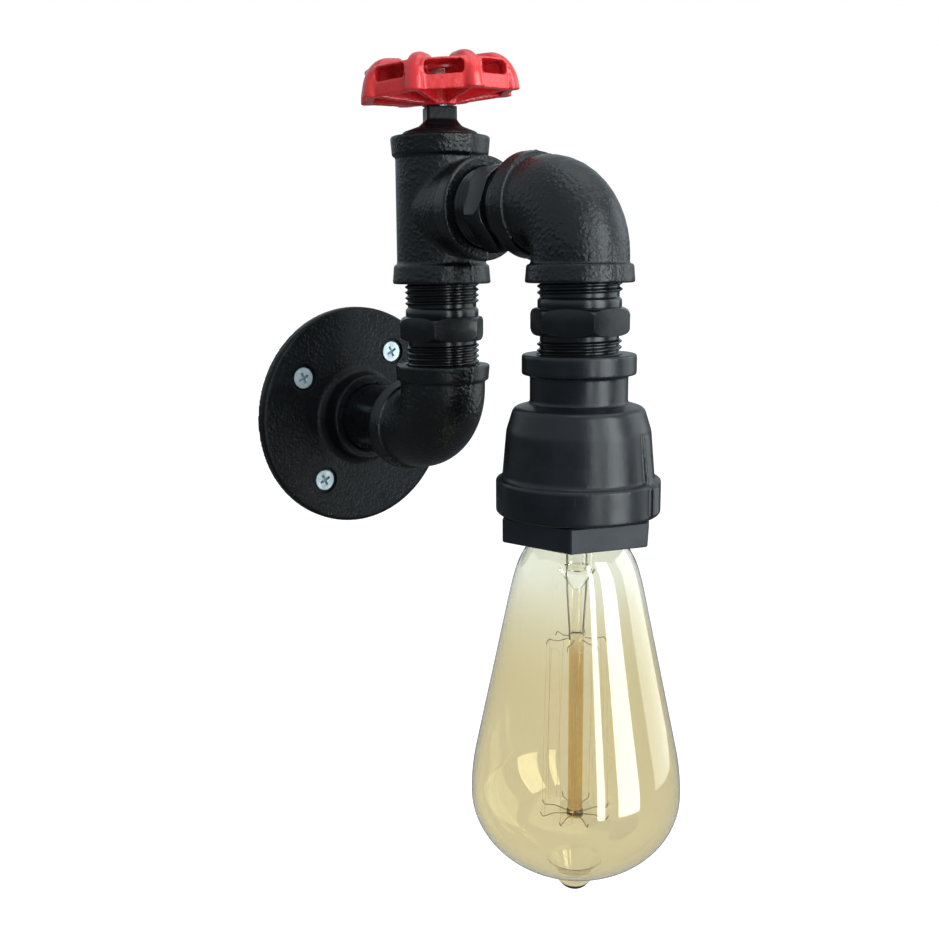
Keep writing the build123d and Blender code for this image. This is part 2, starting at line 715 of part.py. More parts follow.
# ======== lampholder: insulator, screw shell, centre contact ========
holder_seat = bushing_top + bushing_boss_len
holder_top = holder_roof_z - holder_seat_gap
terminal_spots = [
    (
        terminal_circle_r * math.cos(math.radians(a)),
        drop_y + terminal_circle_r * math.sin(math.radians(a)),
    )
    for a in terminal_degs
]
with BuildPart() as lampholder_body:
    with BuildSketch(drop_plane):
        with BuildLine():
            Polyline(
                (holder_socket_r, holder_skirt_low), (holder_skirt_r, holder_skirt_low),
                (holder_skirt_r, holder_seat), (holder_r, holder_seat), (holder_r, holder_top),
                (0, holder_top), (0, holder_socket_roof), (holder_socket_r, holder_socket_roof),
                close=True,
            )
        make_face()
    revolve(axis=drop_axis)
    with BuildSketch(Plane(origin=(0, 0, lamp_z + holder_top), z_dir=(0, 0, 1))):
        with Locations(*terminal_spots):
            Circle(terminal_rivet_r + lead_hole_play)
    extrude(amount=-(holder_top - holder_socket_roof), mode=Mode.SUBTRACT)
lampholder_body.part.label = "lampholder_body"
export_step(lampholder_body.part, "parts/lampholder_body.step")

shell_out_r = holder_socket_r - shell_play
shell_in_r = shell_out_r - shell_t
with BuildPart() as screw_shell:
    with BuildSketch(drop_plane):
        with BuildLine():
            Polyline(
                (shell_in_r, shell_low), (shell_out_r, shell_low), (shell_out_r, shell_roof + shell_t),
                (shell_roof_hole_r, shell_roof + shell_t), (shell_roof_hole_r, shell_roof),
                (shell_in_r, shell_roof), close=True,
            )
        make_face()
    revolve(axis=drop_axis)
screw_shell.part.label = "screw_shell"
export_step(screw_shell.part, "parts/screw_shell.step")

live_dir = Vector(1, 0, 0).rotate(Axis.Z, terminal_degs[0])
strip_plane = Plane(origin=(0, drop_y, lamp_z), x_dir=live_dir, z_dir=live_dir.cross(Vector(0, 0, 1)))
tongue_z = contact_tip + contact_gap
with BuildPart() as contact_spring:
    with BuildSketch(strip_plane):
        with BuildLine():
            Polyline(
                (-strip_w / 2, tongue_z), (1.0, tongue_z),
                (terminal_circle_r - 3.2, holder_socket_roof - face_gap - strip_t),
                (terminal_circle_r + 1.8, holder_socket_roof - face_gap - strip_t),
                (terminal_circle_r + 1.8, holder_socket_roof - face_gap),
                (terminal_circle_r - 3.4, holder_socket_roof - face_gap),
                (0.8, tongue_z + strip_t), (-strip_w / 2, tongue_z + strip_t), close=True,
            )
        make_face()
    extrude(amount=strip_w / 2, both=True)
contact_spring.part.label = "contact_spring"
export_step(contact_spring.part, "parts/contact_spring.step")

# ======== terminals: live, neutral and earth ========
block_low = lamp_z + holder_top + face_gap
block_top = block_low + terminal_h
with BuildPart() as terminal_blocks:
    for (x, y), deg in zip(terminal_spots, terminal_degs):
        outward = Vector(1, 0, 0).rotate(Axis.Z, deg)
        with BuildSketch(Plane(origin=(x, y, block_low), x_dir=outward, z_dir=(0, 0, 1))):
            Rectangle(terminal_len, terminal_w)
        extrude(amount=terminal_h)
        with BuildSketch(Plane(origin=(x, y, block_top), z_dir=(0, 0, 1))):
            Circle(lead_r + lead_hole_play)
        extrude(amount=-terminal_h + 1, mode=Mode.SUBTRACT)
        screw_eye = Vector(x, y, (block_low + block_top) / 2) + outward * (terminal_len / 2)
        with BuildSketch(Plane(origin=screw_eye, z_dir=outward)):
            Circle(terminal_screw_r + lead_hole_play / 2)
        extrude(amount=-(terminal_len / 2 - lead_r - lead_hole_play), mode=Mode.SUBTRACT)
        with BuildSketch(Plane(origin=(x, y, lamp_z + holder_socket_roof), z_dir=(0, 0, 1))):
            Circle(terminal_rivet_r)
        extrude(amount=holder_top + face_gap - holder_socket_roof)
terminal_blocks.part.label = "terminal_blocks"
export_step(terminal_blocks.part, "parts/terminal_blocks.step")

with BuildPart() as terminal_screws:
    for (x, y), deg in zip(terminal_spots, terminal_degs):
        outward = Vector(1, 0, 0).rotate(Axis.Z, deg)
        head_seat = Vector(x, y, (block_low + block_top) / 2) + outward * (terminal_len / 2 + face_gap)
        with BuildSketch(Plane(origin=head_seat, z_dir=outward)):
            Circle(terminal_head_r)
        extrude(amount=terminal_head_h)
        with BuildSketch(Plane(origin=head_seat, z_dir=outward)):
            Circle(terminal_screw_r)
        extrude(amount=-(terminal_len / 2 - lead_r - lead_hole_play))
        with BuildSketch(Plane(origin=head_seat + outward * terminal_head_h, x_dir=(0, 0, 1), z_dir=outward)):
            Rectangle(2 * terminal_head_r + 1, 0.6)
        extrude(amount=-0.7, mode=Mode.SUBTRACT)
terminal_screws.part.label = "terminal_screws"
export_step(terminal_screws.part, "parts/terminal_screws.step")

# A strap from the earth terminal to the metal of the socket.
earth_dir = Vector(1, 0, 0).rotate(Axis.Z, terminal_degs[2])
strap_in = terminal_circle_r + terminal_len / 2 + face_gap
with BuildPart() as earth_strap:
    with BuildSketch(Plane(origin=(0, drop_y, lamp_z + holder_top), x_dir=earth_dir, z_dir=(0, 0, 1))):
        with Locations(((strap_in + holder_r) / 2, 0)):
            Rectangle(holder_r - strap_in, terminal_w)
    extrude(amount=strip_t)
earth_strap.part.label = "earth_strap"
export_step(earth_strap.part, "parts/earth_strap.step")

# ======== leads: live, neutral and earth, from the wall to the lampholder's terminals ========
lead_names = ("live_lead", "neutral_lead", "earth_lead")
lead_sides = (-lead_pitch, lead_pitch, 0.0)
for node, side, (x, y) in zip(lead_names, lead_sides, terminal_spots):
    with BuildPart() as lead:
        with BuildLine() as route:
            FilletPolyline(
                (side, -lead_start, 0), (side, riser_y, 0), (side, riser_y, tee_centre_z),
                (side, drop_y, tee_centre_z), (side, drop_y, lamp_z + lead_spread_z),
                (x, y, lamp_z + lead_line_up_z),
                (x, y, block_low + 1 + face_gap),
                radius=[lead_bend_r, lead_bend_r, lead_bend_r, lead_kink_r, lead_kink_r],
            )
        with BuildSketch(Plane(origin=route.line @ 0, z_dir=route.line % 0)):
            Circle(lead_r)
        sweep(path=route.line)
    lead.part.label = node
    export_step(lead.part, f"parts/{node}.step")

with BuildPart() as lead_ferrules:
    for side in lead_sides:
        with BuildSketch(Plane(origin=(side, -lead_start, 0), z_dir=(0, -1, 0))):
            Circle(lead_r + lead_hole_play / 2 + ferrule_t)
            Circle(lead_r + lead_hole_play / 2, mode=Mode.SUBTRACT)
        extrude(amount=ferrule_len)
lead_ferrules.part.label = "lead_ferrules"
export_step(lead_ferrules.part, "parts/lead_ferrules.step")

# ======== lamp: cap, insulator, contact ========
def lamp_thread(offset_in):
    """Rolled thread of the lamp cap, drawn offset_in inside its outer surface."""
    points = []
    for turn in range(lamp_thread_turns):
        foot = lamp_thread_low + turn * lamp_thread_pitch
        points += [(lamp_root_r - offset_in, foot), (lamp_thread_r - offset_in, foot + 0.3 * lamp_thread_pitch)]
        points += [(lamp_thread_r - offset_in, foot + 0.6 * lamp_thread_pitch)]
    return points + [(lamp_root_r - offset_in, lamp_thread_low + lamp_thread_turns * lamp_thread_pitch)]


with BuildPart() as bulb_cap:
    with BuildSketch(drop_plane):
        with BuildLine():
            Polyline(
                (cap_rim_r - cap_t, cap_rim_low), (cap_rim_r, cap_rim_low), (cap_rim_r, lamp_thread_low - 1.2),
                *lamp_thread(0), (cap_top_r, cap_top), (cap_top_r - cap_t, cap_top),
                *reversed(lamp_thread(cap_t)), (cap_rim_r - cap_t, lamp_thread_low - 1.2), close=True,
            )
        make_face()
    revolve(axis=drop_axis)
bulb_cap.part.label = "bulb_cap"
export_step(bulb_cap.part, "parts/bulb_cap.step")

insulator_top = contact_tip - contact_h
with BuildPart() as cap_insulator:
    with BuildSketch(drop_plane):
        with BuildLine():
            Polyline(
                (0, cap_top - 1.4), (cap_top_r - cap_t - turning_play, cap_top - 1.4),
                (cap_top_r - cap_t - turning_play, cap_top), (contact_r + 0.8, insulator_top),
                (0, insulator_top), close=True,
            )
        make_face()
    revolve(axis=drop_axis)
cap_insulator.part.label = "cap_insulator"
export_step(cap_insulator.part, "parts/cap_insulator.step")

with BuildPart() as cap_contact:
    with BuildSketch(drop_plane):
        with BuildLine():
            Polyline(
                (0, insulator_top), (contact_r, insulator_top), (contact_r, insulator_top + 0.6),
                (contact_r - 1.6, contact_tip), (0, contact_tip), close=True,
            )
        make_face()
    revolve(axis=drop_axis)
cap_contact.part.label = "cap_contact"
export_step(cap_contact.part, "parts/cap_contact.step")

# ======== lamp: glass envelope ========
# A shoulder under the cap, a straight cone, an arc to the widest place and half an ellipse with a
# small sealed tip.
shoulder_points = [(13.2, -24.6), (14.5, -26.8), (16.1, -29.2), (17.95, -32.9), (19.6, -38.3)]
cone_top = (21.3, -45.8)
cone_low = (31.05, -91.9)
cone_dir = (cone_low[0] - cone_top[0], cone_low[1] - cone_top[1])


def envelope_section(inset):
    """Half section of the envelope, drawn inset inside its outer surface and closed on the axis."""
    low = widest_z - dome_h + inset
    with BuildSketch(drop_plane) as section:
        with BuildLine():
            Line((0, neck_top), (neck_r - inset, neck_top))
            Line((neck_r - inset, neck_top), (neck_r - inset, cap_rim_low + 3.5))
            Spline(
                (neck_r - inset, cap_rim_low + 3.5), *[(r - inset, z) for r, z in shoulder_points],
                (cone_top[0] - inset, cone_top[1]), tangents=[(0, -1), cone_dir],
            )
            Line((cone_top[0] - inset, cone_top[1]), (cone_low[0] - inset, cone_low[1]))
            Spline(
                (cone_low[0] - inset, cone_low[1]), (widest_r - inset, widest_z),
                tangents=[cone_dir, (0, -1)],
            )
            EllipticalCenterArc(
                (0, widest_z), widest_r - inset, dome_h - inset, start_angle=270, arc_size=90
            )
            Line((0, low), (0, neck_top))
        make_face()
    return section.sketch


dome_low = widest_z - dome_h
outer_envelope = envelope_section(0)
inner_envelope = envelope_section(glass_t)


with BuildPart() as bulb_glass:
    revolve(outer_envelope, axis=drop_axis)
    with BuildSketch(drop_plane):
        with BuildLine():
            Line((0, dome_low + tip_root), (tip_r, dome_low + tip_root))
            Spline(
                (tip_r, dome_low + tip_root), (0.74 * tip_r, dome_low - 0.16 * tip_h),
                (0.62 * tip_r, dome_low - 0.56 * tip_h), (0, dome_low - tip_h),
                tangents=[(-1, -0.3), (-1, 0)],
            )
            Line((0, dome_low - tip_h), (0, dome_low + tip_root))
        make_face()
    revolve(axis=drop_axis)
    revolve(inner_envelope, axis=drop_axis, mode=Mode.SUBTRACT)
bulb_glass.part.label = "bulb_glass"
export_step(bulb_glass.part, "parts/bulb_glass.step")

# ======== lamp: glass stem and rod ========
flare_r = neck_r - glass_t - 0.2
flare_top = neck_top - flare_lip
flare_mid = flare_top - flare_h
flare_low = flare_mid - flare_h_low
with BuildPart() as glass_stem:
    with BuildSketch(drop_plane):
        with BuildLine():
            Polyline(
                (flare_r - stem_t, flare_top), (flare_r, flare_top), (flare_r, flare_top - 1),
                (stem_r + flare_swell, flare_mid), (stem_r, flare_low), (stem_r, stem_low + 1),
                (stem_r + 0.6, stem_low), (stem_r, stem_low - 1), (upper_rod_r, stem_low - press_len),
                (0, stem_low - press_len), (0, stem_low - 0.5), (stem_r - stem_t - 1, stem_low),
                (stem_r - stem_t, stem_low + 2), (stem_r - stem_t, flare_low),
                (stem_r + flare_swell - stem_t, flare_mid), close=True,
            )
        make_face()
    revolve(axis=drop_axis)
    with BuildSketch(Plane(origin=(0, drop_y, lamp_z + stem_low + 3), z_dir=(0, 0, -1))):
        with Locations((-wire_top_r, 0), (wire_top_r, 0)):
            Circle(wire_r + wire_fit)
    extrude(amount=press_len + 4, mode=Mode.SUBTRACT)
glass_stem.part.label = "glass_stem"
export_step(glass_stem.part, "parts/glass_stem.step")

with BuildPart() as centre_rod:
    with BuildSketch(drop_plane):
        with BuildLine():
            Polyline(
                (0, stem_low - press_len - 0.05), (upper_rod_r, stem_low - press_len - 0.05),
                (upper_rod_r, button_z + 1.8), (button_r, button_z + 1.0), (button_r, button_z - 1.0),
                (rod_r, button_z - 1.8), (rod_r, rod_low + 1.4), (rod_r + 0.4, rod_low + 0.8),
                (rod_r + 0.4, rod_low - 0.8), (0, rod_low - 1.6), close=True,
            )
        make_face()
    revolve(axis=drop_axis)
centre_rod.part.label = "centre_rod"
export_step(centre_rod.part, "parts/centre_rod.step")

# ======== lamp: wires ========
wire_low_r = button_r + wire_r + wire_fit
with BuildPart() as lead_in_wires:
    for sign in (-1, 1):
        with BuildLine() as run:
            FilletPolyline(
                (sign * wire_top_r, drop_y, lamp_z + neck_top - 2),
                (sign * wire_top_r, drop_y, lamp_z + stem_low - press_len),
                (sign * wire_low_r, drop_y, lamp_z + button_z + 2.4),
                (sign * wire_low_r, drop_y, lamp_z + button_z),
                radius=0.8,
            )
        with BuildSketch(Plane(origin=run.line @ 0, z_dir=run.line % 0)):
            Circle(wire_r)
        sweep(path=run.line)
lead_in_wires.part.label = "lead_in_wires"
export_step(lead_in_wires.part, "parts/lead_in_wires.step")

support_sets = {
    "upper_supports": (upper_support_count, upper_support_reach, button_z, button_r, -1),
    "lower_supports": (lower_support_count, lower_support_reach, rod_low, rod_r + 0.4, 1),
}
for node, (count, reach, height, root, lift) in support_sets.items():
    with BuildPart() as supports:
        for i in range(count):
            ray = Vector(1, 0, 0).rotate(Axis.Z, 360 / count * (i + 0.5))
            middle = Vector(0, drop_y, lamp_z + height)
            rise = Vector(0, 0, hook_h * lift)
            with BuildLine() as run:
                FilletPolyline(
                    middle + ray * (root + support_r), middle + ray * (0.6 * reach) + rise * 0.25,
                    middle + ray * (reach - 0.8), middle + ray * reach + rise * 0.6, radius=0.35,
                )
            with BuildSketch(Plane(origin=run.line @ 0, z_dir=run.line % 0)):
                Circle(support_r)
            sweep(path=run.line)
    supports.part.label = node
    export_step(supports.part, f"parts/{node}.step")

strand_points = []
for i in range(filament_strands):
    for step in (0, 1):
        going_down = (i + step) % 2 == 1
        angle = math.radians(360 / filament_strands * (i + 0.32 * step + 0.4))
        z = rod_low + 1.0 if going_down else button_z - 1.5
        reach = filament_circle_r + (1.2 if going_down else 0.0)
        strand_points.append((reach * math.cos(angle), drop_y + reach * math.sin(angle), lamp_z + z))
with BuildPart() as filament:
    with BuildLine() as run:
        FilletPolyline(*strand_points, radius=0.5)
    with BuildSketch(Plane(origin=run.line @ 0, z_dir=run.line % 0)):
        Circle(filament_r)
    sweep(path=run.line)
filament.part.label = "filament"
export_step(filament.part, "parts/filament.step")
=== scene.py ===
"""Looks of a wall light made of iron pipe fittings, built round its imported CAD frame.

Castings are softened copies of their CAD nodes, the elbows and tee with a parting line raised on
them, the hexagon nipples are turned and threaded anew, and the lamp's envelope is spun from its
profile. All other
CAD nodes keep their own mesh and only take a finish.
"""

import json
import logging
import math
from dataclasses import dataclass, field
from enum import Enum

import bmesh
import bpy
from mathutils import Matrix, Vector

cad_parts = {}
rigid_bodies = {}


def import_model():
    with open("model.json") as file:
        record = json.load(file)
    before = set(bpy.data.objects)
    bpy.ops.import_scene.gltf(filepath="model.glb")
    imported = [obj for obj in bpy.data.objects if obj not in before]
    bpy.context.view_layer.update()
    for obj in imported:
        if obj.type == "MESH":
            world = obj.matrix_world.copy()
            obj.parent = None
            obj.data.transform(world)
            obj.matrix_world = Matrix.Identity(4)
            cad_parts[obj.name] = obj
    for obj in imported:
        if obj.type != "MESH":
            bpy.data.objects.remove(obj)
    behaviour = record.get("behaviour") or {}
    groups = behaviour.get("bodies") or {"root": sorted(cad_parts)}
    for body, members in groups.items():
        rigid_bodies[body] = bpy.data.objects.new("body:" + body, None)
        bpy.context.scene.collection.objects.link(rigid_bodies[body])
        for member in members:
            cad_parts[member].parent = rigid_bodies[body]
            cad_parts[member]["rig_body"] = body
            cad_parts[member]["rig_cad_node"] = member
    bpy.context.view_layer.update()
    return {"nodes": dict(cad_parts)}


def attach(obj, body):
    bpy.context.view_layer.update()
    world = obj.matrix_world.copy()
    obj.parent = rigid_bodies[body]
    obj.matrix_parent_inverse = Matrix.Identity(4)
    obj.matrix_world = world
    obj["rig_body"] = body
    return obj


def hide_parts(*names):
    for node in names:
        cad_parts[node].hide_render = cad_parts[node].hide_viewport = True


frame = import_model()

MM = 0.001

Node, Socket, Piece = bpy.types.Node, bpy.types.NodeSocket, bpy.types.Object
Colour = tuple[float, float, float]
Points = list[tuple[float, float]]

log = logging.getLogger("pipe_light")
logging.basicConfig(level=logging.INFO, format="%(name)s: %(message)s")


# --- places in the row frame, in mm
@dataclass(frozen=True)
class Layout:
    """Axes and heights of the pipe run, read off the CAD nodes."""

    riser_y: float = -57.6
    tee_z: float = 73.7
    drop_y: float = -124.7
    lamp_z: float = 0.0
    wheel_foot_z: float = 107.4
    wheel_lean_deg: float = 3.9
    wheel_lean_to_deg: float = 168.0

    def wheel_frame(self) -> Matrix:
        """Place of the handwheel: origin on its seat, local z up its leaning pivot."""
        lean, to = math.radians(self.wheel_lean_deg), math.radians(self.wheel_lean_to_deg)
        up = Vector((math.sin(lean) * math.cos(to), math.sin(lean) * math.sin(to), math.cos(lean)))
        side = Vector((0, 1, 0)).cross(up).normalized()
        turn = Matrix((side, up.cross(side), up)).transposed().to_4x4()
        return Matrix.Translation(Vector((0, self.riser_y, self.wheel_foot_z)) * MM) @ turn


LAYOUT = Layout()


# --- node boards
# Places of a Mix node's colour sockets, whose names it shares with its other sockets.
RGBA_FACTOR, RGBA_A, RGBA_B, RGBA_RESULT = 0, 6, 7, 2


class Board:
    """A node tree with short ways to add and join nodes."""

    def __init__(self, tree: bpy.types.NodeTree) -> None:
        """Wraps a tree.

        Args:
            tree: The material's or group's node tree.
        """
        self.tree = tree

    def add(self, kind: str, values: dict | None = None, **settings) -> Node:
        """Adds a node.

        Args:
            kind: Type name of the node.
            values: Socket name or index to a value, or to an output socket that feeds it.
            **settings: The node's own properties.

        Returns:
            The new node.
        """
        node = self.tree.nodes.new(kind)
        for name, value in settings.items():
            setattr(node, name, value)
        for key, value in (values or {}).items():
            self.feed(node.inputs[key], value)
        return node

    def feed(self, socket: Socket, value) -> None:
        """Sets an input socket, or links it.

        Args:
            socket: The input.
            value: Its value, or the output socket that feeds it.
        """
        if isinstance(value, Socket):
            self.tree.links.new(value, socket)
        else:
            socket.default_value = value

    def math(self, operation: str, *values, clamp: bool = False) -> Socket:
        """Adds a math node.

        Args:
            operation: Name of the operation.
            *values: Its numbers or sockets.
            clamp: Whether the result stays from 0 to 1.

        Returns:
            Its output.
        """
        node = self.add(
            "ShaderNodeMath", dict(enumerate(values)), operation=operation, use_clamp=clamp
        )
        return node.outputs[0]

    def step(self, value: Socket, low, high) -> Socket:
        """Smooth step of a value from 0 at low to 1 at high.

        Args:
            value: What is graded.
            low: Number or socket where the result is 0.
            high: Number or socket where the result is 1.

        Returns:
            The graded value.
        """
        node = self.add(
            "ShaderNodeMapRange",
            {"Value": value, "From Min": low, "From Max": high},
            interpolation_type="SMOOTHSTEP",
        )
        return node.outputs["Result"]

    def mix(self, factor, first, second) -> Socket:
        """Mixes two colours.

        Args:
            factor: Share of the second.
            first: Colour or socket.
            second: Colour or socket.

        Returns:
            The mixed colour.
        """
        first, second = (c if isinstance(c, Socket) else (*c, 1) for c in (first, second))
        values = {RGBA_FACTOR: factor, RGBA_A: first, RGBA_B: second}
        return self.add("ShaderNodeMix", values, data_type="RGBA").outputs[RGBA_RESULT]

    def noise(self, place, scale, detail: float = 2.0, rough: float = 0.5) -> Socket:
        """Noise over the object.

        Args:
            place: Coordinates it is read at.
            scale: Waves per metre, a number or a socket.
            detail: Octaves.
            rough: Share of the finer octaves.

        Returns:
            Its value.
        """
        values = {"Vector": place, "Scale": scale, "Detail": detail, "Roughness": rough}
        return self.add("ShaderNodeTexNoise", values).outputs["Fac"]


class Effect:
    """A shader node group that several finishes share."""

    name = "effect"
    inputs: tuple[tuple[str, str, object], ...] = ()
    outputs: tuple[tuple[str, str], ...] = ()

    def tree(self) -> bpy.types.NodeTree:
        """The group's tree, built the first time.

        Returns:
            The node tree.
        """
        made = bpy.data.node_groups.get(self.name)
        if made:
            return made
        made = bpy.data.node_groups.new(self.name, "ShaderNodeTree")
        for label, kind, default in self.inputs:
            socket = made.interface.new_socket(label, in_out="INPUT", socket_type=kind)
            if default is not None:
                socket.default_value = default
        for label, kind in self.outputs:
            made.interface.new_socket(label, in_out="OUTPUT", socket_type=kind)
        board = Board(made)
        given = board.add("NodeGroupInput").outputs
        board.add("NodeGroupOutput", self.build(board, given))
        return made

    def build(self, board: Board, given) -> dict:
        """Fills the group.

        Args:
            board: The group's board.
            given: Outputs of its input node.

        Returns:
            Output name to the socket that feeds it.
        """
        raise NotImplementedError

    def use(self, board: Board, **values) -> bpy.types.bpy_prop_collection:
        """Places the group in a material.

        Args:
            board: The material's board.
            **values: Input name, with _ for a space, to a value or socket.

        Returns:
            The placed group's outputs.
        """
        given = {key.replace("_", " "): value for key, value in values.items()}
        return board.add("ShaderNodeGroup", given, node_tree=self.tree()).outputs


FLOAT, VECTOR = "NodeSocketFloat", "NodeSocketVector"


class CastSkin(Effect):
    """Pebbled skin of a sand casting under paint: bent round grains, in patches, on a fine grit."""

    name = "cast_skin"
    bend_m = 0.0011
    bend_scale, patch_scale, grit_scale, swell_scale = 420.0, 95.0, 1250.0, 150.0
    grit_share, swell_share, patch_share = 0.55, 0.9, 0.7
    inputs = (("Place", VECTOR, None), ("Grain", FLOAT, 700.0), ("Relief", FLOAT, 1.0))
    outputs = (("Height", FLOAT), ("Grains", FLOAT))

    def build(self, board: Board, given) -> dict:
        """Fills the group; see Effect.build."""
        place = given["Place"]
        warp = board.add(
            "ShaderNodeTexNoise", {"Vector": place, "Scale": self.bend_scale, "Detail": 2.0}
        ).outputs["Color"]
        bent = board.add(
            "ShaderNodeVectorMath", {0: warp, 1: (self.bend_m,) * 3, 2: place},
            operation="MULTIPLY_ADD",
        ).outputs[0]
        cells = board.add(
            "ShaderNodeTexVoronoi", {"Vector": bent, "Scale": given["Grain"], "Smoothness": 0.7},
            feature="SMOOTH_F1",
        ).outputs["Distance"]
        grains = board.step(cells, 0.62, 0.12)
        patches = board.step(board.noise(place, self.patch_scale, 3.0), 0.36, 0.62)
        grit = board.noise(place, self.grit_scale, 4.0, 0.66)
        swell = board.noise(place, self.swell_scale, 2.0)
        share = board.math("MULTIPLY_ADD", patches, self.patch_share, 0.3)
        body = board.math("MULTIPLY", grains, share)
        fine = board.math("MULTIPLY_ADD", grit, self.grit_share, body)
        height = board.math("MULTIPLY_ADD", swell, self.swell_share, fine)
        return {"Height": board.math("MULTIPLY", height, given["Relief"]), "Grains": body}


class Brushing(Effect):
    """Fine marks and a cloudy dulling, for paint films, mouldings and plated metal."""

    name = "brushing"
    inputs = (("Place", VECTOR, None), ("Fineness", FLOAT, 3000.0), ("Clouds", FLOAT, 160.0))
    outputs = (("Marks", FLOAT), ("Dulling", FLOAT))

    def build(self, board: Board, given) -> dict:
        """Fills the group; see Effect.build."""
        marks = board.noise(given["Place"], given["Fineness"], 2.0)
        clouds = board.noise(given["Place"], given["Clouds"], 4.0)
        return {"Marks": marks, "Dulling": board.step(clouds, 0.3, 0.72)}


class Handling(Effect):
    """Where a painted edge has rubbed thin, from how sharp the surface is, broken up by noise."""

    name = "handling"
    inputs = (
        ("Place", VECTOR, None), ("Sharpness", FLOAT, 0.5), ("From", FLOAT, 0.56),
        ("To", FLOAT, 0.66),
    )
    outputs = (("Rubbed", FLOAT),)

    def build(self, board: Board, given) -> dict:
        """Fills the group; see Effect.build."""
        broken = board.noise(given["Place"], 620.0, 4.0, 0.65)
        around = board.math("SUBTRACT", broken, 0.5)
        pushed = board.math("MULTIPLY_ADD", around, 0.22, given["Sharpness"])
        return {"Rubbed": board.step(pushed, given["From"], given["To"])}


CAST_SKIN, BRUSHING, HANDLING = CastSkin(), Brushing(), Handling()


# --- finishes
@dataclass(frozen=True)
class Finish:
    """A surface finish with its own material."""

    name: str

    def material(self) -> bpy.types.Material:
        """The finish's material, built the first time.

        Returns:
            The material.
        """
        made = bpy.data.materials.get(self.name)
        if made:
            return made
        made = bpy.data.materials.new(self.name)
        made.use_nodes = True
        made.node_tree.nodes.clear()
        board = Board(made.node_tree)
        shader = board.add("ShaderNodeBsdfPrincipled")
        board.add("ShaderNodeOutputMaterial", {"Surface": shader.outputs[0]})
        place = board.add("ShaderNodeTexCoord").outputs["Object"]
        self.paint(board, shader, place)
        return made

    def paint(self, board: Board, shader: Node, place: Socket) -> None:
        """Sets the shader.

        Args:
            board: The material's board.
            shader: Its Principled shader.
            place: Object coordinates.
        """
        raise NotImplementedError

    def put_on(self, piece: Piece) -> None:
        """Gives the piece this finish alone.

        Args:
            piece: A mesh object.
        """
        if not piece.material_slots:
            piece.data.materials.append(self.material())
        for slot in piece.material_slots:
            slot.link = "OBJECT"
            slot.material = self.material()

    @staticmethod
    def dress(finishes: dict[str, "Finish"]) -> None:
        """Puts finishes on CAD nodes.

        Args:
            finishes: Node name to its finish.
        """
        for node, finish in finishes.items():
            finish.put_on(frame["nodes"][node])

    @staticmethod
    def bump(board: Board, shader: Node, height, depth: float) -> None:
        """Feeds the shader's normal from a height.

        Args:
            board: The material's board.
            shader: Its Principled shader.
            height: Height socket.
            depth: Depth in metres of a height of 1.
        """
        node = board.add("ShaderNodeBump", {"Height": height, "Distance": depth, "Strength": 1.0})
        board.tree.links.new(node.outputs[0], shader.inputs["Normal"])

    @staticmethod
    def feed(board: Board, shader: Node, **values) -> None:
        """Sets or feeds sockets of the shader.

        Args:
            board: The material's board.
            shader: The shader.
            **values: Socket name, with _ for a space, to a value or socket.
        """
        for key, value in values.items():
            board.feed(shader.inputs[key.replace("_", " ")], value)


@dataclass(frozen=True)
class BlackPaint(Finish):
    """Black paint over iron: pebbled on castings, almost smooth on turned parts."""

    colour: Colour = (0.0030, 0.0037, 0.0048)
    gloss: float = 0.23
    grain: float = 760.0
    relief: float = 0.00012
    ior: float = 1.42
    rub_from: float = 0.62
    rub_to: float = 0.74
    worn_gain: float = 2.6
    dust: float = 0.22
    clouding: float = 0.09
    scuffing: float = 0.06

    def paint(self, board: Board, shader: Node, place: Socket) -> None:
        """Sets the shader; see Finish.paint."""
        skin = CAST_SKIN.use(board, Place=place, Grain=self.grain, Relief=1.0)
        film = BRUSHING.use(board, Place=place, Fineness=2400.0, Clouds=120.0)
        sharp = board.add("ShaderNodeNewGeometry").outputs["Pointiness"]
        rub = HANDLING.use(board, Place=place, Sharpness=sharp, From=self.rub_from, To=self.rub_to)
        lighter = tuple(self.worn_gain * c for c in self.colour)
        worn = board.mix(rub["Rubbed"], self.colour, lighter)
        dusty = board.mix(board.math("MULTIPLY", film["Dulling"], self.dust), worn, lighter)
        tone = board.math("MULTIPLY_ADD", film["Dulling"], self.clouding, self.gloss)
        dull = board.math("MULTIPLY_ADD", film["Marks"], self.scuffing, tone)
        self.feed(board, shader, Base_Color=dusty, Roughness=dull, IOR=self.ior)
        self.bump(board, shader, skin["Height"], self.relief)


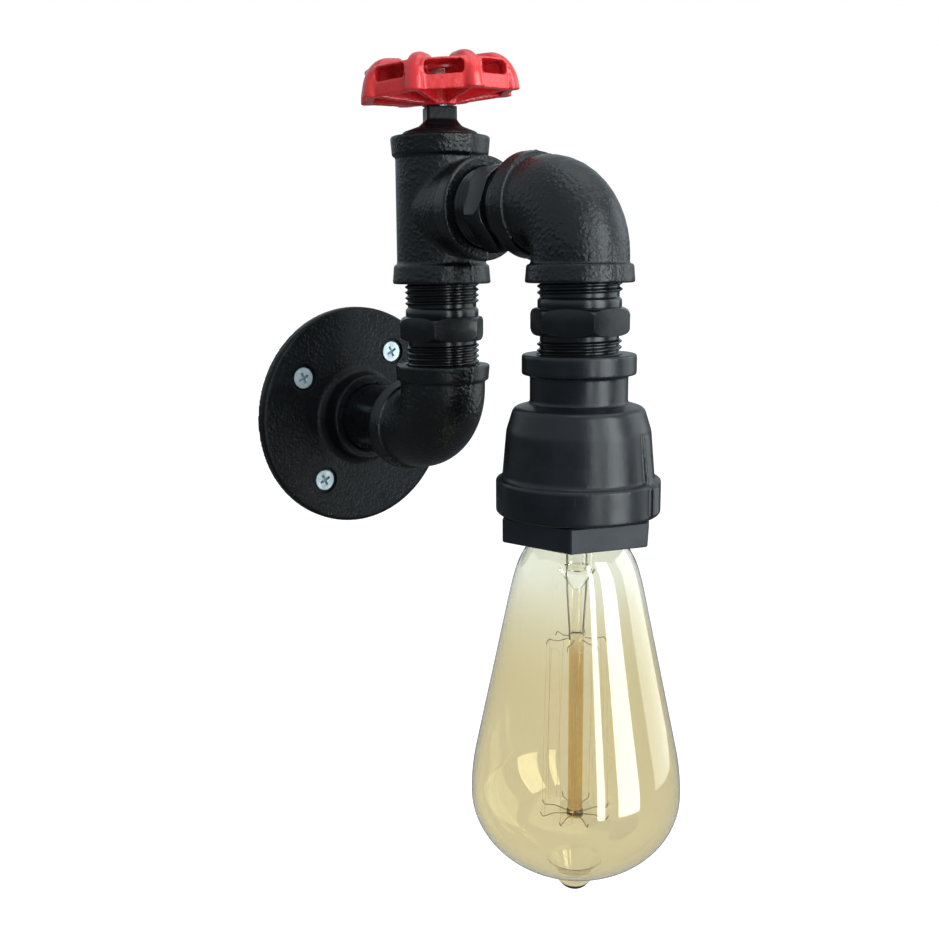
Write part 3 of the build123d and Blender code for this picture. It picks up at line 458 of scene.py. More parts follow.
@dataclass(frozen=True)
class RedEnamel(Finish):
    """Thick red gloss on the cast wheel, with painted shade darkening its hollows, and chipped at
    the lower corners.
    """

    colour: Colour = (0.67, 0.016, 0.019)
    # Deeper red, used for painted shade in the hollows and also for the random cloudy darkening of
    # the film.
    deep_red_and_shade: Colour = (0.36, 0.007, 0.010)
    bare: Colour = (0.62, 0.60, 0.57)
    chip_low: tuple[float, float] = (0.0056, 0.0036)
    chip_reach: tuple[float, float] = (0.0250, 0.0260)
    coat: float = 0.3
    relief: float = 0.00008

    def paint(self, board: Board, shader: Node, place: Socket) -> None:
        """Sets the shader; see Finish.paint."""
        seat = LAYOUT.wheel_frame()
        local = board.add(
            "ShaderNodeMapping",
            {"Vector": place, "Location": seat.to_translation(), "Rotation": seat.to_euler()},
            vector_type="TEXTURE",
        ).outputs[0]
        parts = board.add("ShaderNodeSeparateXYZ", {0: local}).outputs
        flat = board.add("ShaderNodeCombineXYZ", {0: parts[0], 1: parts[1]}).outputs[0]
        reach = board.add("ShaderNodeVectorMath", {0: flat}, operation="LENGTH").outputs["Value"]
        sharp = board.add("ShaderNodeNewGeometry").outputs["Pointiness"]
        rub = HANDLING.use(board, Place=place, Sharpness=sharp, From=0.57, To=0.62)
        low = board.step(parts[2], *self.chip_low)
        far = board.step(reach, *self.chip_reach)
        chipped = board.math("MULTIPLY", rub["Rubbed"], board.math("MULTIPLY", low, far))
        # Painted shade: where the surface is hollow, the red is darkened towards the deeper red.
        hollow_shade = board.step(sharp, 0.50, 0.42)
        skin = CAST_SKIN.use(board, Place=place, Grain=420.0, Relief=1.0)
        film = BRUSHING.use(board, Place=place, Fineness=1800.0, Clouds=110.0)
        # The red with painted shade laid into its hollows.
        red = board.mix(board.math("MULTIPLY", hollow_shade, 0.7), self.colour, self.deep_red_and_shade)
        shaded = board.mix(board.math("MULTIPLY", film["Dulling"], 0.18), red, self.deep_red_and_shade)
        self.feed(
            board, shader,
            Base_Color=board.mix(chipped, shaded, self.bare),
            Roughness=board.math("MULTIPLY_ADD", film["Dulling"], 0.10, 0.24),
            Metallic=chipped, Coat_Roughness=0.12,
            Coat_Weight=board.math("MULTIPLY_ADD", chipped, -self.coat, self.coat),
        )
        self.bump(board, shader, skin["Height"], self.relief)


@dataclass(frozen=True)
class PlainMetal(Finish):
    """Bare or plated metal with fine marks and cloudy dulling."""

    colour: Colour = (0.75, 0.78, 0.80)
    tarnish: Colour = (0.42, 0.45, 0.48)
    gloss: float = 0.28
    depth: float = 0.00002

    def paint(self, board: Board, shader: Node, place: Socket) -> None:
        """Sets the shader; see Finish.paint."""
        film = BRUSHING.use(board, Place=place, Fineness=4200.0, Clouds=340.0)
        share = board.math("MULTIPLY", film["Dulling"], 0.75)
        tone = board.mix(share, self.colour, self.tarnish)
        dull = board.math("MULTIPLY_ADD", film["Dulling"], 0.14, self.gloss)
        self.feed(board, shader, Base_Color=tone, Metallic=1.0, Roughness=dull)
        self.bump(board, shader, film["Marks"], self.depth)


@dataclass(frozen=True)
class Moulding(Finish):
    """Moulded or drawn insulation: phenolic resin or a lead's sleeve."""

    colour: Colour = (0.02, 0.014, 0.01)
    second: Colour = (0.05, 0.035, 0.024)
    gloss: float = 0.35

    def paint(self, board: Board, shader: Node, place: Socket) -> None:
        """Sets the shader; see Finish.paint."""
        film = BRUSHING.use(board, Place=place, Fineness=2600.0, Clouds=520.0)
        tone = board.mix(film["Dulling"], self.colour, self.second)
        dull = board.math("MULTIPLY_ADD", film["Marks"], 0.12, self.gloss)
        self.feed(board, shader, Base_Color=tone, Roughness=dull, IOR=1.52)
        self.bump(board, shader, film["Marks"], 0.00003)


@dataclass(frozen=True)
class StripedSleeve(Finish):
    """Green sleeve of the earth lead with yellow stripes along it."""

    green: Colour = (0.03, 0.22, 0.05)
    yellow: Colour = (0.70, 0.56, 0.04)
    half_stripe: tuple[float, float] = (0.00062, 0.00072)

    def paint(self, board: Board, shader: Node, place: Socket) -> None:
        """Sets the shader; see Finish.paint."""
        parts = board.add("ShaderNodeSeparateXYZ", {0: place}).outputs
        stripe = board.step(board.math("ABSOLUTE", parts[0]), *self.half_stripe)
        film = BRUSHING.use(board, Place=place, Fineness=2600.0, Clouds=300.0)
        self.feed(
            board, shader,
            Base_Color=board.mix(stripe, self.green, self.yellow),
            Roughness=board.math("MULTIPLY_ADD", film["Marks"], 0.12, 0.38),
        )
        self.bump(board, shader, film["Marks"], 0.00003)


@dataclass(frozen=True)
class BlownGlass(Finish):
    """Lamp glass. The tint is laid on from a height downwards and thins out above it."""

    tint: Colour = (0.842, 0.780, 0.575)
    clear: Colour = (0.955, 0.975, 0.89)
    tint_full_z: float = -0.066
    tint_none_z: float = -0.030
    ior: float = 1.5
    waves: float = 0.00002
    drift: float = 0.012

    def paint(self, board: Board, shader: Node, place: Socket) -> None:
        """Sets the shader; see Finish.paint."""
        height = board.add("ShaderNodeSeparateXYZ", {0: place}).outputs[2]
        drift = board.math("MULTIPLY_ADD", board.noise(place, 45.0, 2.0), self.drift, height)
        middle = self.drift / 2
        laid = board.step(drift, self.tint_none_z + middle, self.tint_full_z + middle)
        self.feed(
            board, shader,
            Base_Color=board.mix(laid, self.clear, self.tint),
            Roughness=0.0, IOR=self.ior, Transmission_Weight=1.0,
        )
        self.bump(board, shader, board.noise(place, 60.0, 1.0), self.waves)


# --- modelling bench
class Bench:
    """Modelling steps as done by hand in Blender."""

    @staticmethod
    def clear() -> None:
        """Leaves edit mode and selects nothing."""
        if bpy.context.object and bpy.context.object.mode != "OBJECT":
            bpy.ops.object.mode_set(mode="OBJECT")
        bpy.ops.object.select_all(action="DESELECT")

    @staticmethod
    def take(piece: Piece) -> None:
        """Makes the piece the only one selected, and active.

        Args:
            piece: The object.
        """
        Bench.clear()
        piece.hide_set(False)
        piece.select_set(True)
        bpy.context.view_layer.objects.active = piece

    @staticmethod
    def copy_of(node: str, name: str) -> Piece:
        """A merged copy of a CAD node, to be worked on.

        Args:
            node: Name of the CAD node.
            name: Name of the copy.

        Returns:
            The copy, with no material and no custom normals.
        """
        Bench.take(frame["nodes"][node])
        bpy.ops.object.duplicate()
        piece = bpy.context.object
        piece.name = piece.data.name = name
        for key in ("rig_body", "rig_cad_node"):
            if key in piece:
                del piece[key]
        piece.parent = None
        Bench.take(piece)
        bpy.ops.mesh.customdata_custom_splitnormals_clear()
        Bench.edit(piece)
        bpy.ops.mesh.remove_doubles(threshold=0.000002)
        bpy.ops.object.mode_set(mode="OBJECT")
        piece.data.materials.clear()
        return piece

    @staticmethod
    def edit(piece: Piece) -> None:
        """Opens the piece in edit mode with all of it selected.

        Args:
            piece: The object.
        """
        Bench.take(piece)
        bpy.ops.object.mode_set(mode="EDIT")
        bpy.ops.mesh.select_all(action="SELECT")

    @staticmethod
    def modify(piece: Piece, kind: str, **settings) -> None:
        """Adds a modifier and applies it.

        Args:
            piece: The object.
            kind: The modifier's type.
            **settings: Its properties.
        """
        Bench.take(piece)
        modifier = piece.modifiers.new(kind.lower(), kind)
        for name, value in settings.items():
            setattr(modifier, name, value)
        bpy.ops.object.modifier_apply(modifier=modifier.name)

    @staticmethod
    def soften(piece: Piece, voxel_mm: float, passes: int) -> None:
        """Rounds every edge of a closed piece as casting and paint do.

        Args:
            piece: The object.
            voxel_mm: Size of its new faces.
            passes: Smoothing passes.
        """
        Bench.modify(piece, "REMESH", mode="VOXEL", voxel_size=voxel_mm * MM, adaptivity=0.0)
        Bench.modify(piece, "SMOOTH", factor=0.5, iterations=passes)
        Bench.take(piece)
        bpy.ops.object.shade_smooth()

    @staticmethod
    def cylinder(
        radius: float, low: float, high: float, sides: int = 96, name: str = "tool"
    ) -> Piece:
        """A cylinder up the local z axis.

        Args:
            radius: In mm.
            low: Height of its foot in mm.
            high: Height of its top in mm.
            sides: Number of sides.
            name: Its name.

        Returns:
            The object.
        """
        Bench.clear()
        bpy.ops.mesh.primitive_cylinder_add(
            vertices=sides, radius=radius * MM, depth=(high - low) * MM,
            location=(0, 0, (low + high) / 2 * MM),
        )
        piece = bpy.context.object
        piece.name = piece.data.name = name
        bpy.ops.object.transform_apply(location=True, rotation=True, scale=True)
        return piece

    @staticmethod
    def drawn(
        section: Points, closed: bool, name: str
    ) -> Piece:
        """A line of edges in the plane y = 0, left in edit mode.

        Args:
            section: Points (radius, height) in mm, in order.
            closed: Whether the last point joins the first.
            name: Its name.

        Returns:
            The object.
        """
        Bench.clear()
        bpy.ops.mesh.primitive_plane_add(size=MM)
        piece = bpy.context.object
        piece.name = piece.data.name = name
        bpy.ops.object.mode_set(mode="EDIT")
        work = bmesh.from_edit_mesh(piece.data)
        bmesh.ops.delete(work, geom=list(work.verts), context="VERTS")
        line = [work.verts.new((radius * MM, 0, height * MM)) for radius, height in section]
        pairs = list(zip(line, line[1:])) + ([(line[-1], line[0])] if closed else [])
        for first, second in pairs:
            work.edges.new((first, second))
        bmesh.update_edit_mesh(piece.data)
        return piece

    @staticmethod
    def spun(
        section: Points, closed: bool, steps: int, name: str
    ) -> Piece:
        """A turned piece: a section of radius and height spun once round the z axis.

        Args:
            section: Points (radius, height) in mm, in order.
            closed: Whether the last point joins the first.
            steps: Steps of the full turn.
            name: Its name.

        Returns:
            The object, closed and with its faces outwards.
        """
        piece = Bench.drawn(section, closed, name)
        bpy.ops.mesh.select_all(action="SELECT")
        bpy.ops.mesh.spin(steps=steps, angle=2 * math.pi, center=(0, 0, 0), axis=(0, 0, 1))
        bpy.ops.mesh.select_all(action="SELECT")
        bpy.ops.mesh.remove_doubles(threshold=0.000003)
        bpy.ops.mesh.normals_make_consistent(inside=False)
        bpy.ops.object.mode_set(mode="OBJECT")
        return piece

    @staticmethod
    def boolean(piece: Piece, tool: Piece, operation: str) -> None:
        """Cuts, keeps or joins a piece with a tool, which is then thrown away.

        Args:
            piece: The object.
            tool: The other solid.
            operation: DIFFERENCE, INTERSECT or UNION.
        """
        Bench.modify(piece, "BOOLEAN", object=tool, operation=operation, solver="EXACT")
        bpy.data.objects.remove(tool)

    @staticmethod
    def join(pieces: list[Piece]) -> Piece:
        """Joins pieces into the first.

        Args:
            pieces: The objects.

        Returns:
            The first object.
        """
        Bench.take(pieces[0])
        for piece in pieces[1:]:
            piece.select_set(True)
        bpy.ops.object.join()
        return bpy.context.object

    @staticmethod
    def settle(piece: Piece, place: Matrix) -> None:
        """Moves a piece to its place and takes the place into its mesh.

        Args:
            piece: The object.
            place: Its place in the row frame.
        """
        piece.matrix_world = place
        Bench.take(piece)
        bpy.ops.object.transform_apply(location=True, rotation=True, scale=True)

    @staticmethod
    def smooth_by_angle(piece: Piece, degrees: float) -> None:
        """Shades smooth all but edges sharper than an angle.

        Args:
            piece: The object.
            degrees: The angle.
        """
        Bench.take(piece)
        bpy.ops.object.shade_smooth_by_angle(angle=math.radians(degrees))


class Body(Enum):
    """Bodies of the frame."""

    FIXTURE = "fixture"
    WHEEL = "wheel"
    CARRIER = "bulb_carrier"
    BULB = "bulb"


def hand_over(piece: Piece, body: Body, slot: str, *nodes: str) -> None:
    """Attaches a finished piece to its body, hides the CAD nodes it stands for and logs it.

    Args:
        piece: The object.
        body: The body it moves with.
        slot: Material slot of the record; not used.
        *nodes: CAD nodes that it stands for.
    """
    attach(piece, body.value)
    if nodes:
        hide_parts(*nodes)
    log.info("%s: %d faces, on %s", piece.name, len(piece.data.polygons), body.value)


# --- castings
@dataclass
class Castings:
    """Wall flange, elbows, tee and plug, all softened; the elbows and tee carry the ridge of the
    mould's parting.
    """

    finish: BlackPaint = BlackPaint("black_cast_paint")
    flange_finish: BlackPaint = BlackPaint(
        "black_flange_paint", gloss=0.27, relief=0.00011, ior=1.27
    )
    plug_finish: BlackPaint = BlackPaint("black_plug_paint", gloss=0.32, relief=0.00004, ior=1.34)
    screw_circle_r: float = 28.1
    first_screw_deg: float = 56.2
    step_r: float = 4.9
    step_depth: float = 1.2
    step_round: float = 0.25
    flange_face: float = 4.0
    ridge_w: float = 0.6
    ridge_h: float = 0.36
    ridge_wander: float = 0.22
    skin_from: float = 12.9
    corner_reach: float = 26.0
    pivot_hole_r: float = 2.58
    voxels: dict[str, float] = field(
        default_factory=lambda: {
            "wall_flange": 0.42, "lower_elbow": 0.36, "upper_elbow": 0.36, "tee": 0.42,
        }
    )

    def ridge(self, piece: Piece) -> None:
        """Raises the parting line along the plane x = 0.

        Args:
            piece: The casting.
        """
        group = piece.vertex_groups.new(name="parting")
        for vertex in piece.data.vertices:
            co, normal = vertex.co / MM, vertex.normal
            wander = self.ridge_wander * math.sin(0.9 * co.z) * math.cos(0.7 * co.y)
            near = 1 - abs(co.x - wander) / self.ridge_w
            if near > 0 and abs(normal.x) < 0.5 and self.outside(co):
                broken = 0.6 + 0.25 * math.sin(1.9 * co.z + 0.6) * math.sin(1.3 * co.y)
                broken += 0.25 * math.sin(5.3 * co.z + 2.1 * co.y)
                group.add([vertex.index], max(0.0, min(1.0, near * 1.4)) * broken, "REPLACE")
        Bench.modify(
            piece, "DISPLACE", vertex_group="parting", strength=self.ridge_h * MM, mid_level=0.0,
            direction="NORMAL",
        )

    def outside(self, co: Vector) -> bool:
        """Whether a point in the plane x = 0 is outside the bores that cross at its fitting.

        Args:
            co: The point in mm.

        Returns:
            True beyond the outer skin's radius from both axes.
        """
        riser, drop, top = LAYOUT.riser_y, LAYOUT.drop_y, LAYOUT.tee_z
        for corner_y, corner_z in ((riser, 0.0), (riser, top), (drop, top)):
            dy, dz = abs(co.y - corner_y), abs(co.z - corner_z)
            if max(dy, dz) < self.corner_reach:
                return min(dy, dz) > self.skin_from
        return False

    def countersinks(self, flange: Piece) -> None:
        """Cuts a shallow step round each wall screw.

        Args:
            flange: The wall flange.
        """
        for turn in range(4):
            around = math.radians(self.first_screw_deg + 90 * turn)
            step = Bench.cylinder(self.step_r, -self.step_depth, self.step_depth, 48)
            Bench.modify(
                step, "BEVEL", width=self.step_round * MM, segments=3, limit_method="ANGLE",
                angle_limit=0.9,
            )
            x, z = self.screw_circle_r * math.cos(around), self.screw_circle_r * math.sin(around)
            seat = Matrix.Translation(Vector((x, -self.flange_face, z)) * MM)
            Bench.settle(step, seat @ Matrix.Rotation(math.radians(90), 4, "X"))
            Bench.boolean(flange, step, "DIFFERENCE")

    def build(self) -> None:
        for node, voxel in self.voxels.items():
            piece = Bench.copy_of(node, f"{node}_casting")
            Bench.soften(piece, voxel, 3)
            if node == "wall_flange":
                self.countersinks(piece)
            else:
                self.ridge(piece)
            (self.flange_finish if node == "wall_flange" else self.finish).put_on(piece)
            hand_over(piece, Body.FIXTURE, "cast_black", node)
        plug = Bench.copy_of("square_head_plug", "square_head_plug_casting")
        Bench.soften(plug, 0.3, 3)
        bore = Bench.cylinder(self.pivot_hole_r, -14, 4, 48)
        Bench.settle(bore, LAYOUT.wheel_frame())
        Bench.boolean(plug, bore, "DIFFERENCE")
        self.plug_finish.put_on(plug)
        hand_over(plug, Body.FIXTURE, "cast_black", "square_head_plug")


# --- nipples
@dataclass
class HexNipple:
    """A hexagon nipple with two cut threads. In mm, local z from the hexagon to the collar."""

    node: str
    seat: tuple[float, ...]
    towards: tuple[float, ...]
    turn_deg: float
    hex_r: float = 15.0
    hex_len: float = 8.0
    face_r: float = 12.9
    corner_h: float = 1.9
    collar_r: float = 12.3
    collar_len: float = 3.1
    bore_r: float = 9.6
    crest_r: float = 12.43
    root_r: float = 11.6
    pitch: float = 1.814
    long_end: float = 17.0
    short_end: float = 15.0
    finish: BlackPaint = BlackPaint(
        "black_pipe_paint", gloss=0.15, grain=300.0, relief=0.000022, ior=1.46, rub_from=0.64,
        rub_to=0.8,
    )

    def hexagon(self) -> Piece:
        """The hexagon with its corners turned off.

        Returns:
            The object.
        """
        prism = Bench.cylinder(self.hex_r, 0, self.hex_len, 6, "hexagon")
        turned = Bench.spun(
            [
                (0, 0), (self.face_r, 0), (self.face_r + 0.95, 0.42), (self.hex_r - 0.42, 1.1),
                (self.hex_r, self.corner_h), (self.hex_r, self.hex_len - self.corner_h),
                (self.hex_r - 0.42, self.hex_len - 1.1), (self.face_r + 0.95, self.hex_len - 0.42),
                (self.face_r, self.hex_len), (0, self.hex_len),
            ],
            False, 120, "turned",
        )
        Bench.settle(prism, Matrix.Rotation(math.radians(self.turn_deg - 90), 4, "Z"))
        Bench.boolean(prism, turned, "INTERSECT")
        Bench.modify(
            prism, "BEVEL", width=0.45 * MM, segments=3, limit_method="ANGLE", angle_limit=0.42
        )
        hole = Bench.cylinder(self.bore_r + 0.6, -2, self.hex_len + 2, 72)
        Bench.boolean(prism, hole, "DIFFERENCE")
        return prism

    def thread(self, start: float, turns: int, name: str) -> Piece:
        """A helical thread, cut by the screw modifier from one tooth.

        Args:
            start: Height of its foot in mm.
            turns: Full turns.
            name: Its name.

        Returns:
            The object.
        """
        root, crest, shoulder = self.root_r, self.crest_r, self.crest_r - 0.08
        tooth = [
            (root, 0), (root, 0.10), (shoulder, 0.40), (crest, 0.46), (crest, 0.56),
            (shoulder, 0.62), (root, 0.92), (root, 1.0),
        ]
        piece = Bench.drawn([(r, start + z * self.pitch) for r, z in tooth], False, name)
        bpy.ops.object.mode_set(mode="OBJECT")
        Bench.modify(
            piece, "SCREW", axis="Z", steps=72, render_steps=72, iterations=turns,
            screw_offset=self.pitch * MM, use_merge_vertices=True, merge_threshold=0.000002,
        )
        Bench.edit(piece)
        bpy.ops.mesh.remove_doubles(threshold=0.000002)
        bpy.ops.mesh.normals_make_consistent(inside=False)
        bpy.ops.object.mode_set(mode="OBJECT")
        faces = piece.data.polygons
        inward = sum(1 for face in faces if face.normal.xy.dot(face.center.xy) < 0)
        if inward > len(faces) / 2:
            piece.data.flip_normals()
        return piece

    def build(self) -> None:
        top = self.hex_len + self.collar_len
        core_r = self.root_r - 0.02
        core = Bench.spun(
            [
                (self.bore_r, -self.long_end), (core_r, -self.long_end), (core_r, 0.4),
                (core_r, self.hex_len - 0.4), (self.collar_r - 0.25, self.hex_len - 0.4),
                (self.collar_r, self.hex_len + 0.3), (self.collar_r, top - 0.9),
                (self.collar_r - 0.2, top - 0.55), (core_r, top), (core_r, top + self.short_end),
                (self.bore_r, top + self.short_end),
            ],
            True, 96, "core",
        )
        long_turns = int((self.long_end - 1.4) / self.pitch)
        short_turns = int(self.short_end / self.pitch)
        low = self.thread(-0.6 - (long_turns + 1) * self.pitch, long_turns, "low_thread")
        high = self.thread(top - 0.35, short_turns - 1, "high_thread")
        piece = Bench.join([self.hexagon(), core, low, high])
        piece.name = piece.data.name = f"{self.node}_cut"
        way = Vector(self.towards)
        side = Vector((1, 0, 0))
        turn = Matrix((side, way.cross(side), way)).transposed().to_4x4()
        Bench.settle(piece, Matrix.Translation(Vector(self.seat) * MM) @ turn)
        Bench.smooth_by_angle(piece, 32)
        self.finish.put_on(piece)
        hand_over(piece, Body.FIXTURE, "pipe_black", self.node)


# --- socket and bushing
@dataclass
class ReducingSocket:
    """The bell that carries the lampholder, smooth satin black, with its hexagon bushing."""

    bell: BlackPaint = BlackPaint(
        "black_bell_paint", (0.0036, 0.0045, 0.0066), gloss=0.25, grain=240.0, relief=0.00003,
        ior=1.46, rub_from=0.62, rub_to=0.8,
    )
    bushing: BlackPaint = BlackPaint(
        "black_bushing_paint", (0.0075, 0.0092, 0.0130), gloss=0.36, grain=900.0, relief=0.000014,
        ior=1.42, rub_from=0.7, rub_to=0.9,
    )

    def build(self) -> None:
        piece = Bench.copy_of("reducing_socket", "reducing_socket_casting")
        Bench.soften(piece, 0.42, 4)
        self.bell.put_on(piece)
        hand_over(piece, Body.FIXTURE, "cast_black", "reducing_socket")
        Finish.dress({"hex_bushing": self.bushing})


# --- handwheel
@dataclass
class Handwheel:
    """The cast wheel on its pivot screw."""

    pivot_hole_r: float = 2.58
    enamel: RedEnamel = RedEnamel("red_wheel_enamel")
    plate: PlainMetal = PlainMetal("zinc_plate", gloss=0.30)

    def build(self) -> None:
        piece = Bench.copy_of("handwheel", "handwheel_casting")
        Bench.soften(piece, 0.36, 4)
        bore = Bench.cylinder(self.pivot_hole_r, -3, 9, 64)
        Bench.settle(bore, LAYOUT.wheel_frame())
        Bench.boolean(piece, bore, "DIFFERENCE")
        self.enamel.put_on(piece)
        hand_over(piece, Body.WHEEL, "wheel_red", "handwheel")
        Finish.dress({"wheel_washer": self.plate, "wheel_screw": self.plate})


# --- lamp
@dataclass
class Lamp:
    """The screw-base lamp: envelope, stem, rod, supports and filament."""

    skin: float = 0.01
    wall: float = 0.8
    neck_r: float = 11.4
    neck_top: float = -11.0
    neck_low: float = -20.0
    shoulder: tuple[tuple[float, float], ...] = (
        (13.2, -24.6), (14.5, -26.8), (16.1, -29.2), (17.95, -32.9), (19.6, -38.3),
    )
    cone_top: tuple[float, float] = (21.3, -45.8)
    cone_low: tuple[float, float] = (31.05, -91.9)
    widest: tuple[float, float] = (32.6, -106.4)
    dome_h: float = 25.9
    tip_r: float = 9.0
    tip_h: float = 7.8
    tip_root: float = 1.04
    thin_strand: float = 0.09
    thin_support: float = 0.07
    amber: BlownGlass = BlownGlass("amber_envelope_glass", ior=1.65, waves=0.000006)
    stem: BlownGlass = BlownGlass(
        "clear_stem_glass", tint=(0.94, 0.95, 0.92), clear=(0.96, 0.97, 0.95), ior=1.28,
        waves=0.00001,
    )
    rod: BlownGlass = BlownGlass(
        "amber_rod_glass", tint=(0.68, 0.50, 0.21), clear=(0.93, 0.90, 0.82), tint_full_z=-0.062,
        tint_none_z=-0.055, waves=0.00001,
    )
    wire: PlainMetal = PlainMetal(
        "dark_wire", (0.30, 0.24, 0.16), (0.16, 0.12, 0.08), 0.35, 0.00001
    )
    strand: PlainMetal = PlainMetal(
        "filament_wire", (0.80, 0.66, 0.42), (0.62, 0.50, 0.30), 0.4, 0.00001
    )
    brass: PlainMetal = PlainMetal("brass", (0.78, 0.57, 0.25), (0.50, 0.34, 0.13), 0.25)
    nickel: PlainMetal = PlainMetal("nickel_plate", (0.70, 0.68, 0.63), (0.42, 0.40, 0.36), 0.22)
    insulator: Moulding = Moulding(
        "cap_glass_insulator", (0.012, 0.012, 0.016), (0.03, 0.028, 0.032), 0.15
    )

    @staticmethod
    def curve(
        points: Points, start: tuple[float, float], end: tuple[float, float],
        count: int,
    ) -> Points:
        """A smooth curve through points, with given slopes at its ends.

        Args:
            points: Points it passes through.
            start: Direction at the first.
            end: Direction at the last.
            count: Steps between two points.

        Returns:
            Points along the curve, the last one left out.
        """
        dots = [Vector(p) for p in points]
        last = len(dots) - 1
        slopes = [(dots[min(i + 1, last)] - dots[max(i - 1, 0)]) / 2 for i in range(last + 1)]
        slopes[0] = Vector(start).normalized() * (dots[1] - dots[0]).length
        slopes[-1] = Vector(end).normalized() * (dots[-1] - dots[-2]).length
        made = []
        for i in range(last):
            for k in range(count):
                t = k / count
                a, b = 2 * t**3 - 3 * t**2 + 1, t**3 - 2 * t**2 + t
                c, d = -2 * t**3 + 3 * t**2, t**3 - t**2
                bend = a * dots[i] + b * slopes[i] + c * dots[i + 1] + d * slopes[i + 1]
                made.append(tuple(bend))
        return made

    def half_section(self, inset: float) -> Points:
        """Half section from the neck's top to the axis.

        Args:
            inset: How far inside the outer surface it is drawn.

        Returns:
            Points (radius, height) in mm.
        """
        slope = (self.cone_low[0] - self.cone_top[0], self.cone_low[1] - self.cone_top[1])
        points = [(self.neck_r, self.neck_top), (self.neck_r, -14.0), (self.neck_r, -17.0)]
        path = [(self.neck_r, self.neck_low), *self.shoulder, self.cone_top]
        points += self.curve(path, (0, -1), slope, 8)
        points += self.curve([self.cone_top, self.cone_low], slope, slope, 16)
        points += self.curve([self.cone_low, self.widest], slope, (0, -1), 12)
        points = [(r - inset, z) for r, z in points]
        steps = 48
        last = math.acos((self.tip_r + 0.2) / self.widest[0])
        for i in range(steps + 1):
            turn = last * i / steps
            radius = (self.widest[0] - inset) * math.cos(turn)
            points.append((radius, self.widest[1] - (self.dome_h - inset) * math.sin(turn)))
        low = self.widest[1] - self.dome_h
        tip = [
            (self.tip_r - 0.6 * inset, low + self.tip_root + inset),
            (0.73 * self.tip_r - inset, low - 0.16 * self.tip_h + 0.2 * inset),
            (0.62 * self.tip_r - inset, low - 0.56 * self.tip_h),
            (0.36 * self.tip_r - 0.7 * inset, low - 0.90 * self.tip_h + 0.8 * inset),
            (0, low - self.tip_h + inset),
        ]
        return points + self.curve(tip, (-1, -0.3), (-1, 0), 8) + [(0, low - self.tip_h + inset)]

    def drawn_wire(
        self, node: str, name: str, thinner_mm: float, slot: str, finish: PlainMetal
    ) -> None:
        """Draws a wire of the lamp down to its real thickness, along the same path.

        Args:
            node: CAD node of the wire.
            name: Name of the piece.
            thinner_mm: How much its radius shrinks, in mm.
            slot: Material slot of the record.
            finish: Its finish.
        """
        piece = Bench.copy_of(node, name)
        Bench.edit(piece)
        bpy.ops.transform.shrink_fatten(value=-thinner_mm * MM)
        bpy.ops.object.mode_set(mode="OBJECT")
        Bench.smooth_by_angle(piece, 50)
        finish.put_on(piece)
        hand_over(piece, Body.BULB, slot, node)

    def build(self) -> None:
        section = self.half_section(self.skin) + list(reversed(self.half_section(self.wall)))
        piece = Bench.spun(section, True, 144, "amber_envelope")
        Bench.settle(piece, Matrix.Translation(Vector((0, LAYOUT.drop_y, LAYOUT.lamp_z)) * MM))
        Bench.smooth_by_angle(piece, 40)
        self.amber.put_on(piece)
        hand_over(piece, Body.BULB, "amber_glass", "bulb_glass")
        self.drawn_wire("filament", "filament_strand", self.thin_strand, "filament", self.strand)
        for node in ("upper_supports", "lower_supports"):
            self.drawn_wire(node, f"{node}_wire", self.thin_support, "lamp_wire", self.wire)
        Finish.dress({
            "glass_stem": self.stem, "centre_rod": self.rod, "lead_in_wires": self.wire,
            "bulb_cap": self.nickel, "cap_contact": self.nickel, "cap_insulator": self.insulator,
        })


# --- wiring and screws
@dataclass
class Fittings:
    """Wall screws, flange barrel, lampholder, terminals and leads, which keep their CAD mesh."""

    zinc: PlainMetal = PlainMetal("zinc_screw", (0.64, 0.73, 0.77), (0.42, 0.50, 0.54), 0.52)
    pipe: BlackPaint = BlackPaint("black_barrel_paint", gloss=0.2, grain=300.0, relief=0.00003)
    resin: Moulding = Moulding("brown_resin")
    brass: PlainMetal = PlainMetal("brass_terminal", (0.78, 0.57, 0.25), (0.50, 0.34, 0.13), 0.3)
    live: Moulding = Moulding("brown_sleeve", (0.10, 0.035, 0.012), (0.13, 0.05, 0.018), 0.4)
    neutral: Moulding = Moulding("blue_sleeve", (0.01, 0.08, 0.35), (0.016, 0.11, 0.42), 0.4)
    earth: StripedSleeve = StripedSleeve("striped_sleeve")

    def build(self) -> None:
        """Dresses the nodes."""
        Finish.dress({
            "wall_screws": self.zinc, "flange_nipple": self.pipe, "lampholder_body": self.resin,
            "screw_shell": self.brass, "contact_spring": self.brass, "terminal_blocks": self.brass,
            "terminal_screws": self.zinc, "earth_strap": self.brass, "live_lead": self.live,
            "neutral_lead": self.neutral, "earth_lead": self.earth, "lead_ferrules": self.zinc,
        })


